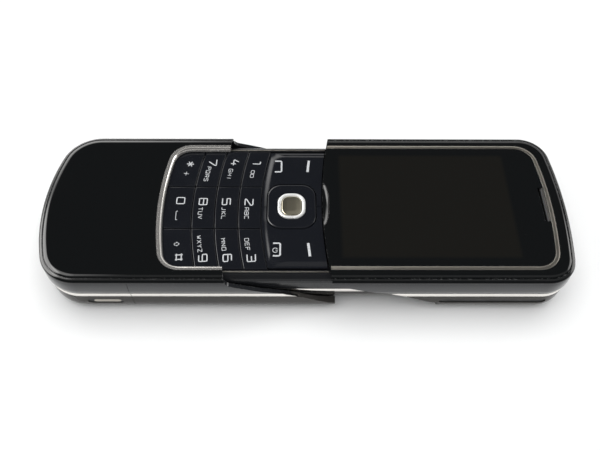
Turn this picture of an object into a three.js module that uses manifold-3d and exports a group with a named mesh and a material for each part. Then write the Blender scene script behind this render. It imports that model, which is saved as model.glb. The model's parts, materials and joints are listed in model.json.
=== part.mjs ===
// A slider phone lying on its back with its slide open, piece by piece, in millimetres.
// +X runs along the phone to the earpiece end, +Y to the side of the digit 1, and +Z up.
// The origin lies under the middle of the open phone, on the surface that it rests on.
// The core carries the keys, the display and the upper shell. The sleeve is a smoked glass
// cover on a channel that wraps the core, and it slides along +X until it closes the keypad.
import * as THREE from 'three';
import { mergeVertices } from 'three/addons/utils/BufferGeometryUtils.js';
import Module from 'manifold-3d';

const wasm = await Module();
wasm.setup();

// Whole phone
const closedLength = 107;
const width = 45;
const thickness = 15.9;
const travel = 25.2;

// Fits: the sliding gap, the hairline round an inlay, the gap under a seated face, and how
// far a cutting shape runs past what it cuts
const slideGap = 0.3;
const seam = 0.1;
const seat = 0.05;
const overrun = 2;

// Hull section, from the back up
const wall = 1.1;
const backShare = 0.497;
const stripeWidth = 1.5;
const stripeDepth = 0.5;
const stripeProud = 0.05;
const stripeLean = 0.4;
const browHeight = 1.9;
const browLean = 0.1;
const glassThickness = 1.2;
const glassEdge = 0.7;
const backSteps = 6;
const edgeSteps = 4;

// Hull outline seen from above, with the radii of its end arcs as shares of the width
const bottomArcShare = 1.2;
const topArcShare = 2.556;
const bottomCorner = 10;
const topCorner = 7.5;
const leastCorner = 3.5;
const cornerSteps = 6;
const arcSteps = 8;

// Parting line between sleeve and upper shell: it drops from the front edge to a shoulder,
// slants back to a knee and runs out in a round tip near the back
const displaySideShare = 0.5589;
const edgeArcShare = 3;
const shoulderDrop = 1;
const shoulderRadius = 1.6;
const kneeRun = 16.9;
const kneeAboveBack = 0.4;
const tipRun = 26.6;
const tipBelowBack = 3.8;
const tipRadius = 1.5;
const tipUndercut = 1.1;
const partingRise = 0.2;
const endCapLength = 24;

// Polished ring round the keypad's end, in the sleeve's cover
const chinShare = 0.2785;
const ringMargin = 3.9;
const ringWidth = 1.1;
const ringFlat = 0.5;
const ringCorner = 5;
const ringArcShare = 1.733;
const ringProud = 0.06;

// Keypad: rows of keys in a well of the core, bounded by arcs
const keyHeight = 1.2;
const keyTravel = 0.3;
const keyGap = 0.2;
const keyBevel = 0.15;
const keySideGap = 0.4;
const keypadCorner = 4.6;
const columnShare = 0.357;
const rowArcShare = 1.75;
const rowShares = [0.3094, 0.47, 0.6336, 0.7939];
const keySteps = 5;
const trimWidth = 0.6;
const trimHeight = 0.6;
const trimGap = 0.1;
const trimMargin = 5.5;

// Function panel and navigation key
const panelRise = 0.45;
const panelRim = 1.9;
const panelCorner = 4.5;
const rimStepShares = [[0, 0], [0.3, 0.1], [0.55, 0.35], [0.8, 0.75], [1, 1]];
const navigationShift = 0.05;
const navigationMargin = 1.65;
const navigationShare = 0.38;
const navigationCorner = 3.6;
const navigationRise = 0.65;
const navigationEdge = 0.35;
const rockGap = 0.2;
const selectLength = 5;
const selectWidth = 5.7;
const selectCorner = 1.9;
const selectGap = 0.12;
const selectRise = 0.75;
const selectRingWidth = 0.9;
const selectRingHeight = 1;
const selectRingProud = 0.25;
const gimbalHeight = 0.23;
const gimbalWidth = 1.2;
const gimbalGap = 0.25;
const dishDepth = 0.2;

// Core: frame with deck, well and display recess, over a case
const deckRound = 0.5;
const deckSideLean = 0.05;
const deckRimWidth = 1.6;
const deckRimHeight = 2.1;
const deckRimShares = [[0, 0], [0.09, 0.29], [0.31, 0.57], [0.66, 0.83], [1, 1]];
const matSpace = 1.6;
const floorThickness = 0.9;
const boardSpace = 2.2;
const caseSplitDrop = 0.5;
const caseFloor = 1.4;
const coreWall = 1.1;
const keyBoardThickness = 0.5;
const boardThickness = 0.8;
const boardInset = 0.6;

// Display side
const displayStartMargin = 2.6;
const displayEndMargin = 14.1;
const displaySideMargin = 6.7;
const displayFrameWidth = 1.6;
const displayThickness = 2.6;
const displayPanelDepth = 0.2;
const displayRingMargin = 3.8;
const displayRingEndMargin = 4.4;
const displayRingWidth = 0.7;
const displayRingDepth = 0.6;
const displayRingCorner = 5.2;
const displayRingArcShare = 2.333;
const displayRingProud = 0.03;
const scoopHalf = 6.2;
const scoopReach = 1.5;
const scoopDepth = 0.9;
const earpieceHalf = 5.2;
const earpieceWidth = 1.6;
const earpieceBarWidth = 0.7;
const earpieceBarDrop = 0.35;
const receiverLength = 3.6;
const receiverWidth = 12;
const receiverHeight = 2.2;

// Socket in the end cap's side wall
const socketFromSeam = 6.4;
const socketBelowStripe = 3.4;
const socketLength = 5.6;
const socketThickness = 2;
const socketDepth = 3.4;
const socketWall = 0.3;
const socketInset = 2.2;
const recessLength = 8.2;
const recessThickness = 2.6;
const socketBlockLength = 8.8;
const socketBlockThickness = 3.8;
const tongueThickness = 0.5;
const tongueLength = 3.6;

// Loudspeaker slot in the upper shell's side wall
const speakerSlotFromTip = 4.8;
const speakerSlotMargin = 7.1;
const speakerSlotBelowStripe = 2.6;
const speakerSlotWidth = 2.2;
const speakerMeshDepth = 0.5;
const speakerMeshSink = 1.35;

// Steel guide rails on the sleeve's back
const railFromSeam = 5.3;
const railFromTip = 4.4;
const railShare = 0.4;
const railWidth = 2;
const railHeight = 0.75;

// Pieces inside the core: how far each lies from the core's keypad end, from the earpiece
// end or from the sides, and its share of the hollow's height
const batteryFromEnd = 8.6;
const batteryFromCamera = 9.8;
const batteryNearMargin = 7.5;
const batteryFarMargin = 6.9;
const batteryGap = 0.6;
const cameraRingRadius = 5.2;
const cameraWindowRadius = 3.6;
const cameraRingHeight = 0.7;
const cameraRingSink = 0.1;
const cameraWindowThickness = 0.4;
const cameraBarrelRadius = 3;
const cameraBodySize = 8.4;
const cameraShare = 0.667;
const motorFromEnd = 33.1;
const motorFromSide = 11.5;
const motorRadius = 5;
const motorShare = 0.55;
const speakerFromEnd = 15;
const speakerLength = 14;
const speakerWidth = 10;
const speakerShare = 0.7;
const simFromEnd = 17.6;
const simFromSide = 14.5;
const simLength = 17;
const simWidth = 14;
const simHeight = 1.3;
const canHeight = 1.1;
const shieldCanX = 8;
const shieldCanLength = 26;
const microphoneFromEnd = 5.5;
const microphoneFromScrew = 5.5;
const microphoneRadius = 2;
const antennaFromEnd = 6;
const antennaFromScrew = 2.5;
const antennaLength = 6;
const antennaGap = 2;
const lowerScrewFromEnd = 4.3;
const lowerScrewMargin = 10.5;
const upperScrewMargin = 7;
const upperScrewGap = 1.2;
const screwHeadRadius = 1.2;
const screwHeadHeight = 0.6;
const screwRadius = 0.6;
const screwLength = 2;
const screwRecessRadius = 0.5;
const screwRecessDepth = 0.3;
const bossWall = 0.8;
const roundSteps = 24;
const smallSteps = 12;
const plateSteps = 4;

// Places along the phone
const half = width / 2;
const openHalf = (closedLength + travel) / 2;
const coreInset = wall + slideGap;
const bottomArc = width * bottomArcShare;
const topArc = width * topArcShare;
const edgeArc = width * edgeArcShare;
const ringArc = width * ringArcShare;
const rowArc = width * rowArcShare;
const displayRingArc = width * displayRingArcShare;
const edgeAtSide = openHalf - closedLength * displaySideShare;
const edgeApex = edgeAtSide - half * half / (2 * edgeArc);
const cutTop = edgeAtSide - travel - slideGap;
const tipEnd = cutTop + tipRun;
const endSeam = endCapLength - openHalf;
const coreStart = travel + coreInset - openHalf;
const ringEnd = openHalf - closedLength * chinShare;
const keypadEnd = ringEnd - slideGap;
const rowLine = rowShares.map((share) => keypadEnd * share);
const navigationX = (rowLine[0] - edgeApex) / 2 + navigationShift;
const navigationLength = rowLine[0] + edgeApex - 2 * navigationMargin;
const trimStart = keypadEnd - trimMargin;
const displayStart = edgeAtSide + displayStartMargin;
const displayEnd = openHalf - displayEndMargin;
const displayRingEnd = openHalf - displayRingEndMargin;
const socketCentreX = socketFromSeam - endSeam;
const speakerSlotStart = tipEnd + travel + slideGap + speakerSlotFromTip;
const speakerSlotEnd = openHalf - speakerSlotMargin;
const cameraX = tipEnd + travel / 2;
const batterySpan = [coreStart + batteryFromEnd, cameraX - batteryFromCamera];
const lowerScrewX = coreStart + lowerScrewFromEnd;
const upperScrewX = batterySpan[1] + screwHeadRadius + upperScrewGap;

// Places across the phone
const ringHalf = half - ringMargin;
const keyHalf = ringHalf - keySideGap;
const panelHalf = keyHalf - slideGap;
const columnHalf = keyHalf * columnShare;
const navigationWidth = 2 * panelHalf * navigationShare;
const displayHalf = half - displaySideMargin;
const displayRingHalf = half - displayRingMargin;
const railOffset = half * railShare;
const lowerScrewY = half - lowerScrewMargin;
const upperScrewY = half - upperScrewMargin;
const microphoneY = lowerScrewY - microphoneFromScrew;
const antennaSpan = [antennaFromScrew - lowerScrewY, microphoneY - microphoneRadius - antennaGap];

// Heights
const glassBottom = thickness - glassThickness;
const widestHeight = glassBottom - browHeight;
const backRadius = thickness * backShare;
const stripeTop = backRadius + stripeWidth;
const shoulderHeight = glassBottom - shoulderDrop;
const kneeHeight = backRadius + kneeAboveBack;
const tipHeight = backRadius - tipBelowBack;
const socketHeight = backRadius - socketBelowStripe;
const speakerSlotHeight = backRadius - speakerSlotBelowStripe;
const deckHeight = glassBottom - slideGap;
const keyTop = deckHeight;
const keyBottom = keyTop - keyHeight;
const wellFloor = keyBottom - matSpace;
const ceiling = wellFloor - floorThickness;
const boardHeight = ceiling - boardSpace;
const boardTop = boardHeight + boardThickness;
const caseSplit = backRadius - caseSplitDrop;
const caseTopOfFloor = coreInset + caseFloor;
const hollowBottom = caseTopOfFloor + slideGap;
const hollowHeight = boardHeight - hollowBottom;

// Colours and finishes
const materials = {
  glass: finish(0x07080b, 0.04, 0.1),
  gloss: finish(0x3a3d44, 0.22, 0.4),
  core: finish(0x14161b, 0.3, 0.1),
  chrome: finish(0xd8d2c8, 0.1, 1),
  champagne: finish(0x8f8574, 0.25, 1),
  key: finish(0x15181e, 0.25, 0.1),
  rubber: finish(0x202225, 0.8, 0),
  board: finish(0x1c5a36, 0.5, 0),
  steel: finish(0xb4b6b8, 0.3, 1),
  battery: finish(0x5c6166, 0.5, 0.3),
  screen: finish(0x1c1916, 0.15, 0),
  lens: finish(0x101418, 0.05, 0),
  plastic: finish(0x2a2c2f, 0.5, 0)
};

function finish(color, roughness, metalness) {
  return () => new THREE.MeshStandardMaterial({ color, roughness, metalness });
}

// Solids and booleans
function solidOf(geometry) {
  const plain = geometry.clone();
  plain.deleteAttribute('normal');
  plain.deleteAttribute('uv');
  const merged = mergeVertices(plain);
  return new wasm.Manifold(new wasm.Mesh({
    numProp: 3,
    vertProperties: new Float32Array(merged.attributes.position.array),
    triVerts: new Uint32Array(merged.index.array)
  }));
}

function geometryOf(solid) {
  const mesh = solid.getMesh();
  const geometry = new THREE.BufferGeometry();
  geometry.setAttribute('position', new THREE.BufferAttribute(new Float32Array(mesh.vertProperties), 3));
  geometry.setIndex(new THREE.BufferAttribute(new Uint32Array(mesh.triVerts), 1));
  const faceted = geometry.toNonIndexed();
  faceted.computeVertexNormals();
  return faceted;
}

function block(x, y, z) {
  const geometry = new THREE.BoxGeometry(x[1] - x[0], y[1] - y[0], z[1] - z[0]);
  geometry.translate((x[0] + x[1]) / 2, (y[0] + y[1]) / 2, (z[0] + z[1]) / 2);
  return solidOf(geometry);
}

function across(centre, size) {
  return [centre - size / 2, centre + size / 2];
}

// A shape in the XY plane, extruded upwards
function prism(shape, low, high) {
  const geometry = new THREE.ExtrudeGeometry(shape, {
    depth: high - low,
    bevelEnabled: false,
    curveSegments: plateSteps
  });
  geometry.translate(0, 0, low);
  return solidOf(geometry);
}

// A shape in the XZ plane, extruded across the phone
function crossPrism(shape) {
  const reach = half + overrun;
  const geometry = new THREE.ExtrudeGeometry(shape, {
    depth: 2 * reach,
    bevelEnabled: false,
    curveSegments: cornerSteps
  });
  geometry.rotateX(Math.PI / 2);
  geometry.translate(0, reach, 0);
  return solidOf(geometry);
}

// A shape in the YZ plane, extruded along the phone
function lengthPrism(shape) {
  const geometry = new THREE.ExtrudeGeometry(shape, { depth: 2 * closedLength, bevelEnabled: false });
  geometry.rotateX(Math.PI / 2);
  geometry.rotateZ(Math.PI / 2);
  geometry.translate(-closedLength, 0, 0);
  return solidOf(geometry);
}

function shapeOf(points) {
  return new THREE.Shape(points.map(([x, y]) => new THREE.Vector2(x, y)));
}

function roundedRectangle(x, y, radius) {
  const shape = new THREE.Shape();
  shape.moveTo(x[0] + radius, y[0]);
  shape.lineTo(x[1] - radius, y[0]);
  shape.absarc(x[1] - radius, y[0] + radius, radius, -Math.PI / 2, 0);
  shape.lineTo(x[1], y[1] - radius);
  shape.absarc(x[1] - radius, y[1] - radius, radius, 0, Math.PI / 2);
  shape.lineTo(x[0] + radius, y[1]);
  shape.absarc(x[0] + radius, y[1] - radius, radius, Math.PI / 2, Math.PI);
  shape.lineTo(x[0], y[0] + radius);
  shape.absarc(x[0] + radius, y[0] + radius, radius, Math.PI, 1.5 * Math.PI);
  return shape;
}

function cylinder(x, y, low, high, radius, steps = roundSteps) {
  const geometry = new THREE.CylinderGeometry(radius, radius, high - low, steps);
  geometry.rotateX(Math.PI / 2);
  geometry.translate(x, y, (low + high) / 2);
  return solidOf(geometry);
}

// Skins level rings of equally many points, given anticlockwise from the lowest up
function loft(rings) {
  const count = rings[0].points.length;
  const positions = rings.flatMap(({ points, z }) => points.flatMap(([x, y]) => [x, y, z]));
  const faces = [];
  for (let level = 1; level < rings.length; level += 1) {
    for (let step = 0; step < count; step += 1) {
      const next = (step + 1) % count;
      const low = (level - 1) * count;
      const high = level * count;
      faces.push(low + step, low + next, high + next);
      faces.push(low + step, high + next, high + step);
    }
  }
  const top = (rings.length - 1) * count;
  for (const [a, b, c] of capOf(rings[0])) {
    faces.push(a, c, b);
  }
  for (const [a, b, c] of capOf(rings[rings.length - 1])) {
    faces.push(top + a, top + b, top + c);
  }
  const geometry = new THREE.BufferGeometry();
  geometry.setAttribute('position', new THREE.Float32BufferAttribute(positions, 3));
  geometry.setIndex(faces);
  return solidOf(geometry);
}

function capOf(ring) {
  const contour = ring.points.map(([x, y]) => new THREE.Vector2(x, y));
  return THREE.ShapeUtils.triangulateShape(contour, []);
}

// One rounded end: a wide arc between two corner arcs, anticlockwise seen from above.
// Direction is 1 at the earpiece end and -1 at the keypad end.
function roundEnd(direction, apex, arc, corner, side) {
  const arcX = apex - direction * arc;
  const cornerY = side - corner;
  const reach = Math.sqrt((arc - corner) ** 2 - cornerY ** 2);
  const cornerX = arcX + direction * reach;
  const tilt = Math.atan2(cornerY, reach);
  const quarter = Math.PI / 2;
  const points = [];
  const sweep = (x, y, radius, from, to, steps) => {
    for (let step = 0; step <= steps; step += 1) {
      const angle = from + (to - from) * step / steps;
      points.push([x + direction * radius * Math.cos(angle), y + direction * radius * Math.sin(angle)]);
    }
  };
  sweep(cornerX, -direction * cornerY, corner, -quarter, -tilt, cornerSteps);
  points.pop();
  sweep(arcX, 0, arc, -tilt, tilt, arcSteps);
  points.pop();
  sweep(cornerX, direction * cornerY, corner, tilt, quarter, cornerSteps);
  return points;
}

// The open phone's outline, drawn in by an offset
function outline(offset) {
  const corner = (radius) => Math.max(radius - offset, leastCorner);
  const side = half - offset;
  return [
    ...roundEnd(1, openHalf - offset, topArc - offset, corner(topCorner), side),
    ...roundEnd(-1, offset - openHalf, bottomArc - offset, corner(bottomCorner), side)
  ];
}

function hullOf(section) {
  return loft(section.map(({ z, offset }) => ({ z, points: outline(offset) })));
}

// The hull's side from the back up to a height, drawn in by an inset
function sideSection(inset, top) {
  const section = [];
  for (let step = 0; step <= backSteps; step += 1) {
    const angle = Math.PI / 2 * step / backSteps;
    const radius = backRadius - inset;
    section.push({
      z: backRadius - radius * Math.cos(angle),
      offset: backRadius - radius * Math.sin(angle) + stripeLean
    });
  }
  section.push({ z: stripeTop, offset: inset + stripeLean });
  section.push({ z: widestHeight, offset: inset });
  section.push({ z: top, offset: inset + browLean });
  return section;
}

// The rounded rim of a plate whose top lies at a height
function rimSection(bottom, top, offset, radius) {
  const section = [{ z: bottom, offset }];
  for (let step = 0; step <= edgeSteps; step += 1) {
    const angle = Math.PI / 2 * step / edgeSteps;
    section.push({
      z: top - radius + radius * Math.sin(angle),
      offset: offset + radius - radius * Math.cos(angle)
    });
  }
  return section;
}

function coreSection() {
  const section = sideSection(coreInset, deckHeight - deckRound);
  section.pop();
  return [...section, ...rimSection(deckHeight - deckRound - seam, deckHeight, coreInset, deckRound)];
}

// A level band round the hull, between two offsets
function band(outer, inner, low, high) {
  const outside = hullOf([{ z: low, offset: outer }, { z: high, offset: outer }]);
  const inside = hullOf([{ z: low - overrun, offset: inner }, { z: high + overrun, offset: inner }]);
  return outside.subtract(inside);
}

function stripeBand(inset) {
  const surface = inset + stripeLean;
  return band(surface - stripeProud, surface + stripeDepth, backRadius, stripeTop);
}

function stripeGroove(inset) {
  const surface = inset + stripeLean;
  return band(surface - overrun, surface + stripeDepth + seam, backRadius - seam, stripeTop + seam);
}

// Everything on the sleeve's side of the parting line, seen from the side
function partingZone(shift, rise) {
  const left = -openHalf - overrun;
  const start = cutTop + shift;
  const slope = (shoulderHeight - kneeHeight) / kneeRun;
  const tip = start + tipRun;
  const shape = new THREE.Shape();
  shape.moveTo(left, thickness + overrun);
  shape.lineTo(left, -overrun);
  shape.lineTo(tip - tipUndercut, -overrun);
  shape.lineTo(tip - tipUndercut, rise);
  shape.lineTo(tip, tipHeight - tipRadius + rise);
  shape.quadraticCurveTo(tip, tipHeight + rise, tip - tipRadius, tipHeight + tipRadius * slope + rise);
  shape.lineTo(start + kneeRun, kneeHeight + rise);
  shape.lineTo(start + shoulderRadius, shoulderHeight - shoulderRadius * slope + rise);
  shape.quadraticCurveTo(start, shoulderHeight + rise, start, shoulderHeight + shoulderRadius + rise);
  shape.lineTo(start, thickness + overrun);
  return crossPrism(shape);
}

// Everything on the keypad's side of the display edge, seen from above
function edgeZone(shift) {
  const points = [[-openHalf - overrun, half + overrun], [-openHalf - overrun, -half - overrun]];
  for (let step = 0; step <= arcSteps; step += 1) {
    const y = (half + overrun) * (2 * step / arcSteps - 1);
    points.push([edgeApex + shift + y * y / (2 * edgeArc), y]);
  }
  return prism(shapeOf(points), -overrun, thickness + overrun);
}

// A tongue-shaped region that is open towards the earpiece end
function tongueRegion(end, arc, corner, side, right) {
  const points = roundEnd(-1, -end, arc, corner, side);
  return [...points, [right, -side], [right, side]];
}

function tonguePrism(spread, right, low, high) {
  const points = tongueRegion(keypadEnd + spread, ringArc + spread, keypadCorner + spread, keyHalf + spread, right);
  return prism(shapeOf(points), low, high);
}

// Hulls that several pieces share
const outerHull = hullOf(sideSection(0, glassBottom - seat));
const innerHull = hullOf(sideSection(wall, glassBottom + overrun));
const glassHull = hullOf(rimSection(glassBottom, thickness, browLean, glassEdge));
const sleeveZone = partingZone(0, 0);
const sleeveFrontZone = edgeZone(-travel - slideGap);
const shellGapZone = partingZone(travel + slideGap, partingRise);
const displayGapZone = edgeZone(0);
const keyZone = edgeZone(-slideGap);
const capZone = block([-openHalf - overrun, endSeam - seam / 2], [-width, width], [-overrun, thickness + overrun]);
const capGapZone = block([-openHalf - overrun, endSeam + seam / 2], [-width, width], [-overrun, thickness + overrun]);
const leftHalf = block([-closedLength, closedLength], [0, width], [-overrun, thickness + overrun]);
const rightHalf = block([-closedLength, closedLength], [-width, 0], [-overrun, thickness + overrun]);

// Sleeve
function sleeveChannel() {
  return outerHull.subtract(innerHull).intersect(sleeveZone).subtract(stripeGroove(0));
}

function sleeveShell() {
  return sleeveChannel().subtract(capGapZone);
}

function socketY() {
  return [-half + socketInset, -half + socketInset + socketDepth];
}

function endCap() {
  const y = socketY();
  const front = roundedRectangle(across(0, recessLength), across(0, recessThickness), recessThickness / 2);
  const cap = sleeveChannel().intersect(capZone);
  const carrier = block(
    across(-socketCentreX, socketBlockLength),
    [-half + wall, y[1]],
    across(socketHeight, socketBlockThickness)
  ).intersect(outerHull).intersect(capZone);
  const hole = block(
    across(-socketCentreX, socketLength + 2 * seam),
    [-half - overrun, y[1] + overrun],
    across(socketHeight, socketThickness + 2 * seam)
  );
  return cap.add(carrier).subtract(facing(front, -half - overrun, y[0])).subtract(hole);
}

// A shape drawn about the socket's axis, extruded inwards from the side wall
function facing(shape, from, to) {
  const geometry = new THREE.ExtrudeGeometry(shape, {
    depth: to - from,
    bevelEnabled: false,
    curveSegments: plateSteps
  });
  geometry.rotateX(Math.PI / 2);
  geometry.translate(-socketCentreX, to, socketHeight);
  return solidOf(geometry);
}

function socketShell() {
  const y = socketY();
  const radius = socketThickness / 2 - socketWall;
  const outside = roundedRectangle(across(0, socketLength), across(0, socketThickness), radius);
  const inside = roundedRectangle(
    across(0, socketLength - 2 * socketWall),
    across(0, socketThickness - 2 * socketWall),
    radius - socketWall
  );
  return facing(outside, y[0], y[1]).subtract(facing(inside, y[0] - overrun, y[1] - socketWall));
}

function socketTongue() {
  const y = socketY();
  return block(
    across(-socketCentreX, tongueLength),
    [y[0] + socketWall, y[1] - socketWall - seat],
    across(socketHeight + tongueThickness / 2, tongueThickness)
  );
}

function ringRegion(spread) {
  return tongueRegion(ringEnd + spread, ringArc + spread, ringCorner + spread, ringHalf + spread, edgeAtSide);
}

function sleeveCover() {
  const opening = prism(shapeOf(ringRegion(ringWidth / 2 + seam)), glassBottom - overrun, thickness + overrun);
  return glassHull.intersect(sleeveFrontZone).subtract(opening);
}

function keypadRing() {
  const top = thickness + ringProud;
  const outside = prism(shapeOf(ringRegion(ringWidth / 2)), glassBottom, top);
  const slope = (ringWidth - ringFlat) / (top - glassBottom);
  const lowSpread = -ringWidth / 2 - slope * overrun;
  const highSpread = ringWidth / 2 - ringFlat + slope * overrun;
  const inside = loft([
    { z: glassBottom - overrun, points: ringRegion(lowSpread) },
    { z: top + overrun, points: ringRegion(highSpread) }
  ]);
  return outside.subtract(inside).intersect(sleeveFrontZone);
}

function sleeveStripe(side) {
  return stripeBand(0).intersect(sleeveZone).subtract(capGapZone).intersect(side);
}

function endCapStripe() {
  return stripeBand(0).intersect(capZone);
}

function slideRail(direction) {
  return block(
    [endSeam + railFromSeam, tipEnd - railFromTip],
    across(direction * railOffset, railWidth),
    [wall + seat, wall + seat + railHeight]
  );
}

// Upper shell and display side
function upperShell() {
  const y = [-half - overrun, 0];
  const slot = block([speakerSlotStart, speakerSlotEnd], y, across(speakerSlotHeight, speakerSlotWidth));
  const shell = outerHull.subtract(innerHull).subtract(shellGapZone).subtract(stripeGroove(0));
  return shell.subtract(slot);
}

function speakerMesh() {
  const near = -half + speakerMeshSink;
  return block(
    [speakerSlotStart + seam, speakerSlotEnd - seam],
    [near, near + speakerMeshDepth],
    across(speakerSlotHeight, speakerSlotWidth - 2 * seam)
  );
}

function upperStripe() {
  return stripeBand(0).subtract(shellGapZone);
}

function displayRingRegion(spread) {
  const points = roundEnd(
    1,
    displayRingEnd + spread,
    displayRingArc + spread,
    displayRingCorner + spread,
    displayRingHalf + spread
  );
  return [...points, [-overrun, displayRingHalf + spread], [-overrun, -displayRingHalf - spread]];
}

function displayRingBand(extra, top) {
  const low = thickness - displayRingDepth - extra;
  const spread = displayRingWidth / 2 + extra;
  const outside = prism(shapeOf(displayRingRegion(spread)), low, top);
  const inside = prism(shapeOf(displayRingRegion(-spread)), low - overrun, top + overrun);
  return outside.subtract(inside).subtract(displayGapZone);
}

function earpieceSpan() {
  const right = displayRingEnd - displayRingWidth / 2 - 2 * seam;
  return [right - earpieceWidth, right];
}

function displayGlass() {
  const scoop = new THREE.SphereGeometry(1, roundSteps, roundSteps / 2);
  scoop.scale(scoopReach, scoopHalf, scoopDepth);
  scoop.translate(edgeApex, 0, thickness);
  const slot = block(earpieceSpan(), [-earpieceHalf, earpieceHalf], [glassBottom - overrun, thickness + overrun]);
  return glassHull.subtract(displayGapZone)
    .subtract(displayRingBand(seam, thickness + overrun))
    .subtract(solidOf(scoop))
    .subtract(slot);
}

function displayRing() {
  return displayRingBand(0, thickness + displayRingProud);
}

// A bar with a sloping face along the earpiece slot's outer edge
function earpieceBar() {
  const right = earpieceSpan()[1] - seam;
  const left = right - earpieceBarWidth;
  const shape = shapeOf([
    [left, glassBottom + seat],
    [right, glassBottom + seat],
    [right, thickness],
    [left, thickness - earpieceBarDrop]
  ]);
  const sides = block([left - overrun, right + overrun], across(0, 2 * (earpieceHalf - seam)), [0, thickness + overrun]);
  return crossPrism(shape).intersect(sides);
}

function displaySpan(margin) {
  return {
    x: [displayStart - margin, displayEnd + margin],
    y: [-displayHalf - margin, displayHalf + margin]
  };
}

function displayModule() {
  const outer = displaySpan(displayFrameWidth - rockGap);
  const inner = displaySpan(0);
  const low = wellFloor + seat;
  const high = low + displayThickness;
  const body = prism(roundedRectangle(outer.x, outer.y, displayFrameWidth / 2), low, high);
  return body.subtract(block(inner.x, inner.y, [high - displayPanelDepth, high + overrun]));
}

function receiverPocket(extra) {
  const centre = (earpieceSpan()[0] + earpieceSpan()[1]) / 2 - receiverLength / 4;
  const x = across(centre, receiverLength + 2 * extra);
  const y = across(0, receiverWidth + 2 * extra);
  return roundedRectangle(x, y, receiverLength / 2);
}

function earpieceReceiver() {
  const low = wellFloor + seat;
  return prism(receiverPocket(0), low, low + receiverHeight);
}

// Core: upright long sides above the stripe, and a broad soft rim up to the deck
function deckZone() {
  const side = half - coreInset - stripeLean + deckSideLean;
  const foot = deckHeight - deckRimHeight;
  const rim = deckRimShares.map(([inwards, rise]) => [side - deckRimWidth * inwards, foot + deckRimHeight * rise]);
  const left = [[half + overrun, -overrun], [half + overrun, stripeTop], [side, stripeTop], ...rim];
  const right = left.map(([y, z]) => [-y, z]).reverse();
  return lengthPrism(shapeOf([...left, ...right]));
}

function coreBody() {
  const hull = hullOf(coreSection());
  return hull.intersect(hull.translate([travel, 0, 0])).intersect(deckZone());
}

function innerPocket(low, high) {
  const inset = coreInset + coreWall;
  const pocket = hullOf([{ z: low, offset: inset + stripeLean }, { z: high, offset: inset + stripeLean }]);
  return pocket.intersect(pocket.translate([travel, 0, 0]));
}

function screwSpots() {
  return [
    ['lower_left', lowerScrewX, lowerScrewY],
    ['lower_right', lowerScrewX, -lowerScrewY],
    ['upper_left', upperScrewX, upperScrewY],
    ['upper_right', upperScrewX, -upperScrewY]
  ];
}

function coreFrame() {
  const level = block([-closedLength, closedLength], [-width, width], [caseSplit + seam / 2, thickness + overrun]);
  const well = tonguePrism(trimGap, edgeAtSide, wellFloor, thickness + overrun);
  const recess = displaySpan(displayFrameWidth);
  const display = prism(roundedRectangle(recess.x, recess.y, displayFrameWidth / 2), wellFloor, thickness + overrun);
  const receiver = prism(receiverPocket(rockGap), wellFloor, thickness + overrun);
  const trims = block(
    [-trimStart - trimGap, edgeAtSide],
    [-keyHalf - trimWidth - 3 * trimGap, keyHalf + trimWidth + 3 * trimGap],
    [deckHeight - trimHeight - trimGap, thickness + overrun]
  );
  let frame = coreBody().intersect(level).subtract(innerPocket(-overrun, ceiling)).subtract(stripeGroove(coreInset));
  for (const [, x, y] of screwSpots()) {
    frame = frame.add(cylinder(x, y, boardTop + seam, ceiling + seam, screwRadius + seam + bossWall, smallSteps));
  }
  frame = frame.subtract(well.add(trims).intersect(displayGapZone)).subtract(display).subtract(receiver);
  for (const [, x, y] of screwSpots()) {
    frame = frame.subtract(cylinder(x, y, boardHeight, boardHeight + screwLength + seam, screwRadius + seam, smallSteps));
  }
  return frame;
}

function coreCase() {
  const level = block([-closedLength, closedLength], [-width, width], [-overrun, caseSplit - seam / 2]);
  const inset = coreInset + coreWall;
  const hollow = hullOf(sideSection(inset, thickness));
  const cavity = hollow.intersect(hollow.translate([travel, 0, 0]));
  const floor = block([-closedLength, closedLength], [-width, width], [-overrun, caseTopOfFloor]);
  const socketBlock = block(
    [-closedLength, travel - socketCentreX + socketBlockLength / 2 + slideGap],
    [-width, socketY()[1] + slideGap],
    across(socketHeight, socketBlockThickness + 2 * slideGap)
  );
  let body = coreBody().intersect(level).subtract(cavity.subtract(floor)).subtract(socketBlock);
  for (const direction of [-1, 1]) {
    body = body.subtract(block(
      [-closedLength, tipEnd - railFromTip + travel + slideGap],
      across(direction * railOffset, railWidth + 2 * slideGap),
      [-overrun, wall + seat + railHeight + slideGap]
    ));
  }
  const ringHeight = coreInset + cameraRingSink + cameraRingHeight + cameraWindowThickness;
  return body
    .subtract(cylinder(cameraX, 0, -overrun, ringHeight, cameraRingRadius + seam))
    .subtract(cylinder(cameraX, 0, -overrun, boardHeight, cameraBarrelRadius + slideGap));
}

function coreStripe(side) {
  const right = edgeAtSide + tipRun + tipRadius;
  const span = block([coreStart + bottomCorner, right], [-width, width], [-overrun, thickness + overrun]);
  return stripeBand(coreInset).intersect(span).intersect(side);
}

function keypadTrim(direction) {
  const near = keyHalf + 2 * trimGap;
  const y = [near, near + trimWidth];
  return block(
    [-trimStart, edgeAtSide],
    direction > 0 ? y : [-y[1], -y[0]],
    [deckHeight - trimHeight, deckHeight]
  ).intersect(keyZone);
}

function keyBoard() {
  const low = wellFloor + seat;
  return tonguePrism(-seam, edgeApex - seam, low, low + keyBoardThickness);
}

function keypadMat() {
  const low = wellFloor + 2 * seat + keyBoardThickness;
  return tonguePrism(-seam, edgeApex - seam, low, keyBottom - keyTravel - 2 * seat);
}

function mainBoard() {
  const inset = coreInset + coreWall + stripeLean + boardInset;
  const plate = hullOf([{ z: boardHeight, offset: inset }, { z: boardTop, offset: inset }]);
  let board = plate.intersect(plate.translate([travel, 0, 0]));
  for (const [, x, y] of screwSpots()) {
    board = board.subtract(cylinder(x, y, boardHeight - overrun, boardTop + overrun, screwRadius + 2 * seam, smallSteps));
  }
  return board;
}

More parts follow.
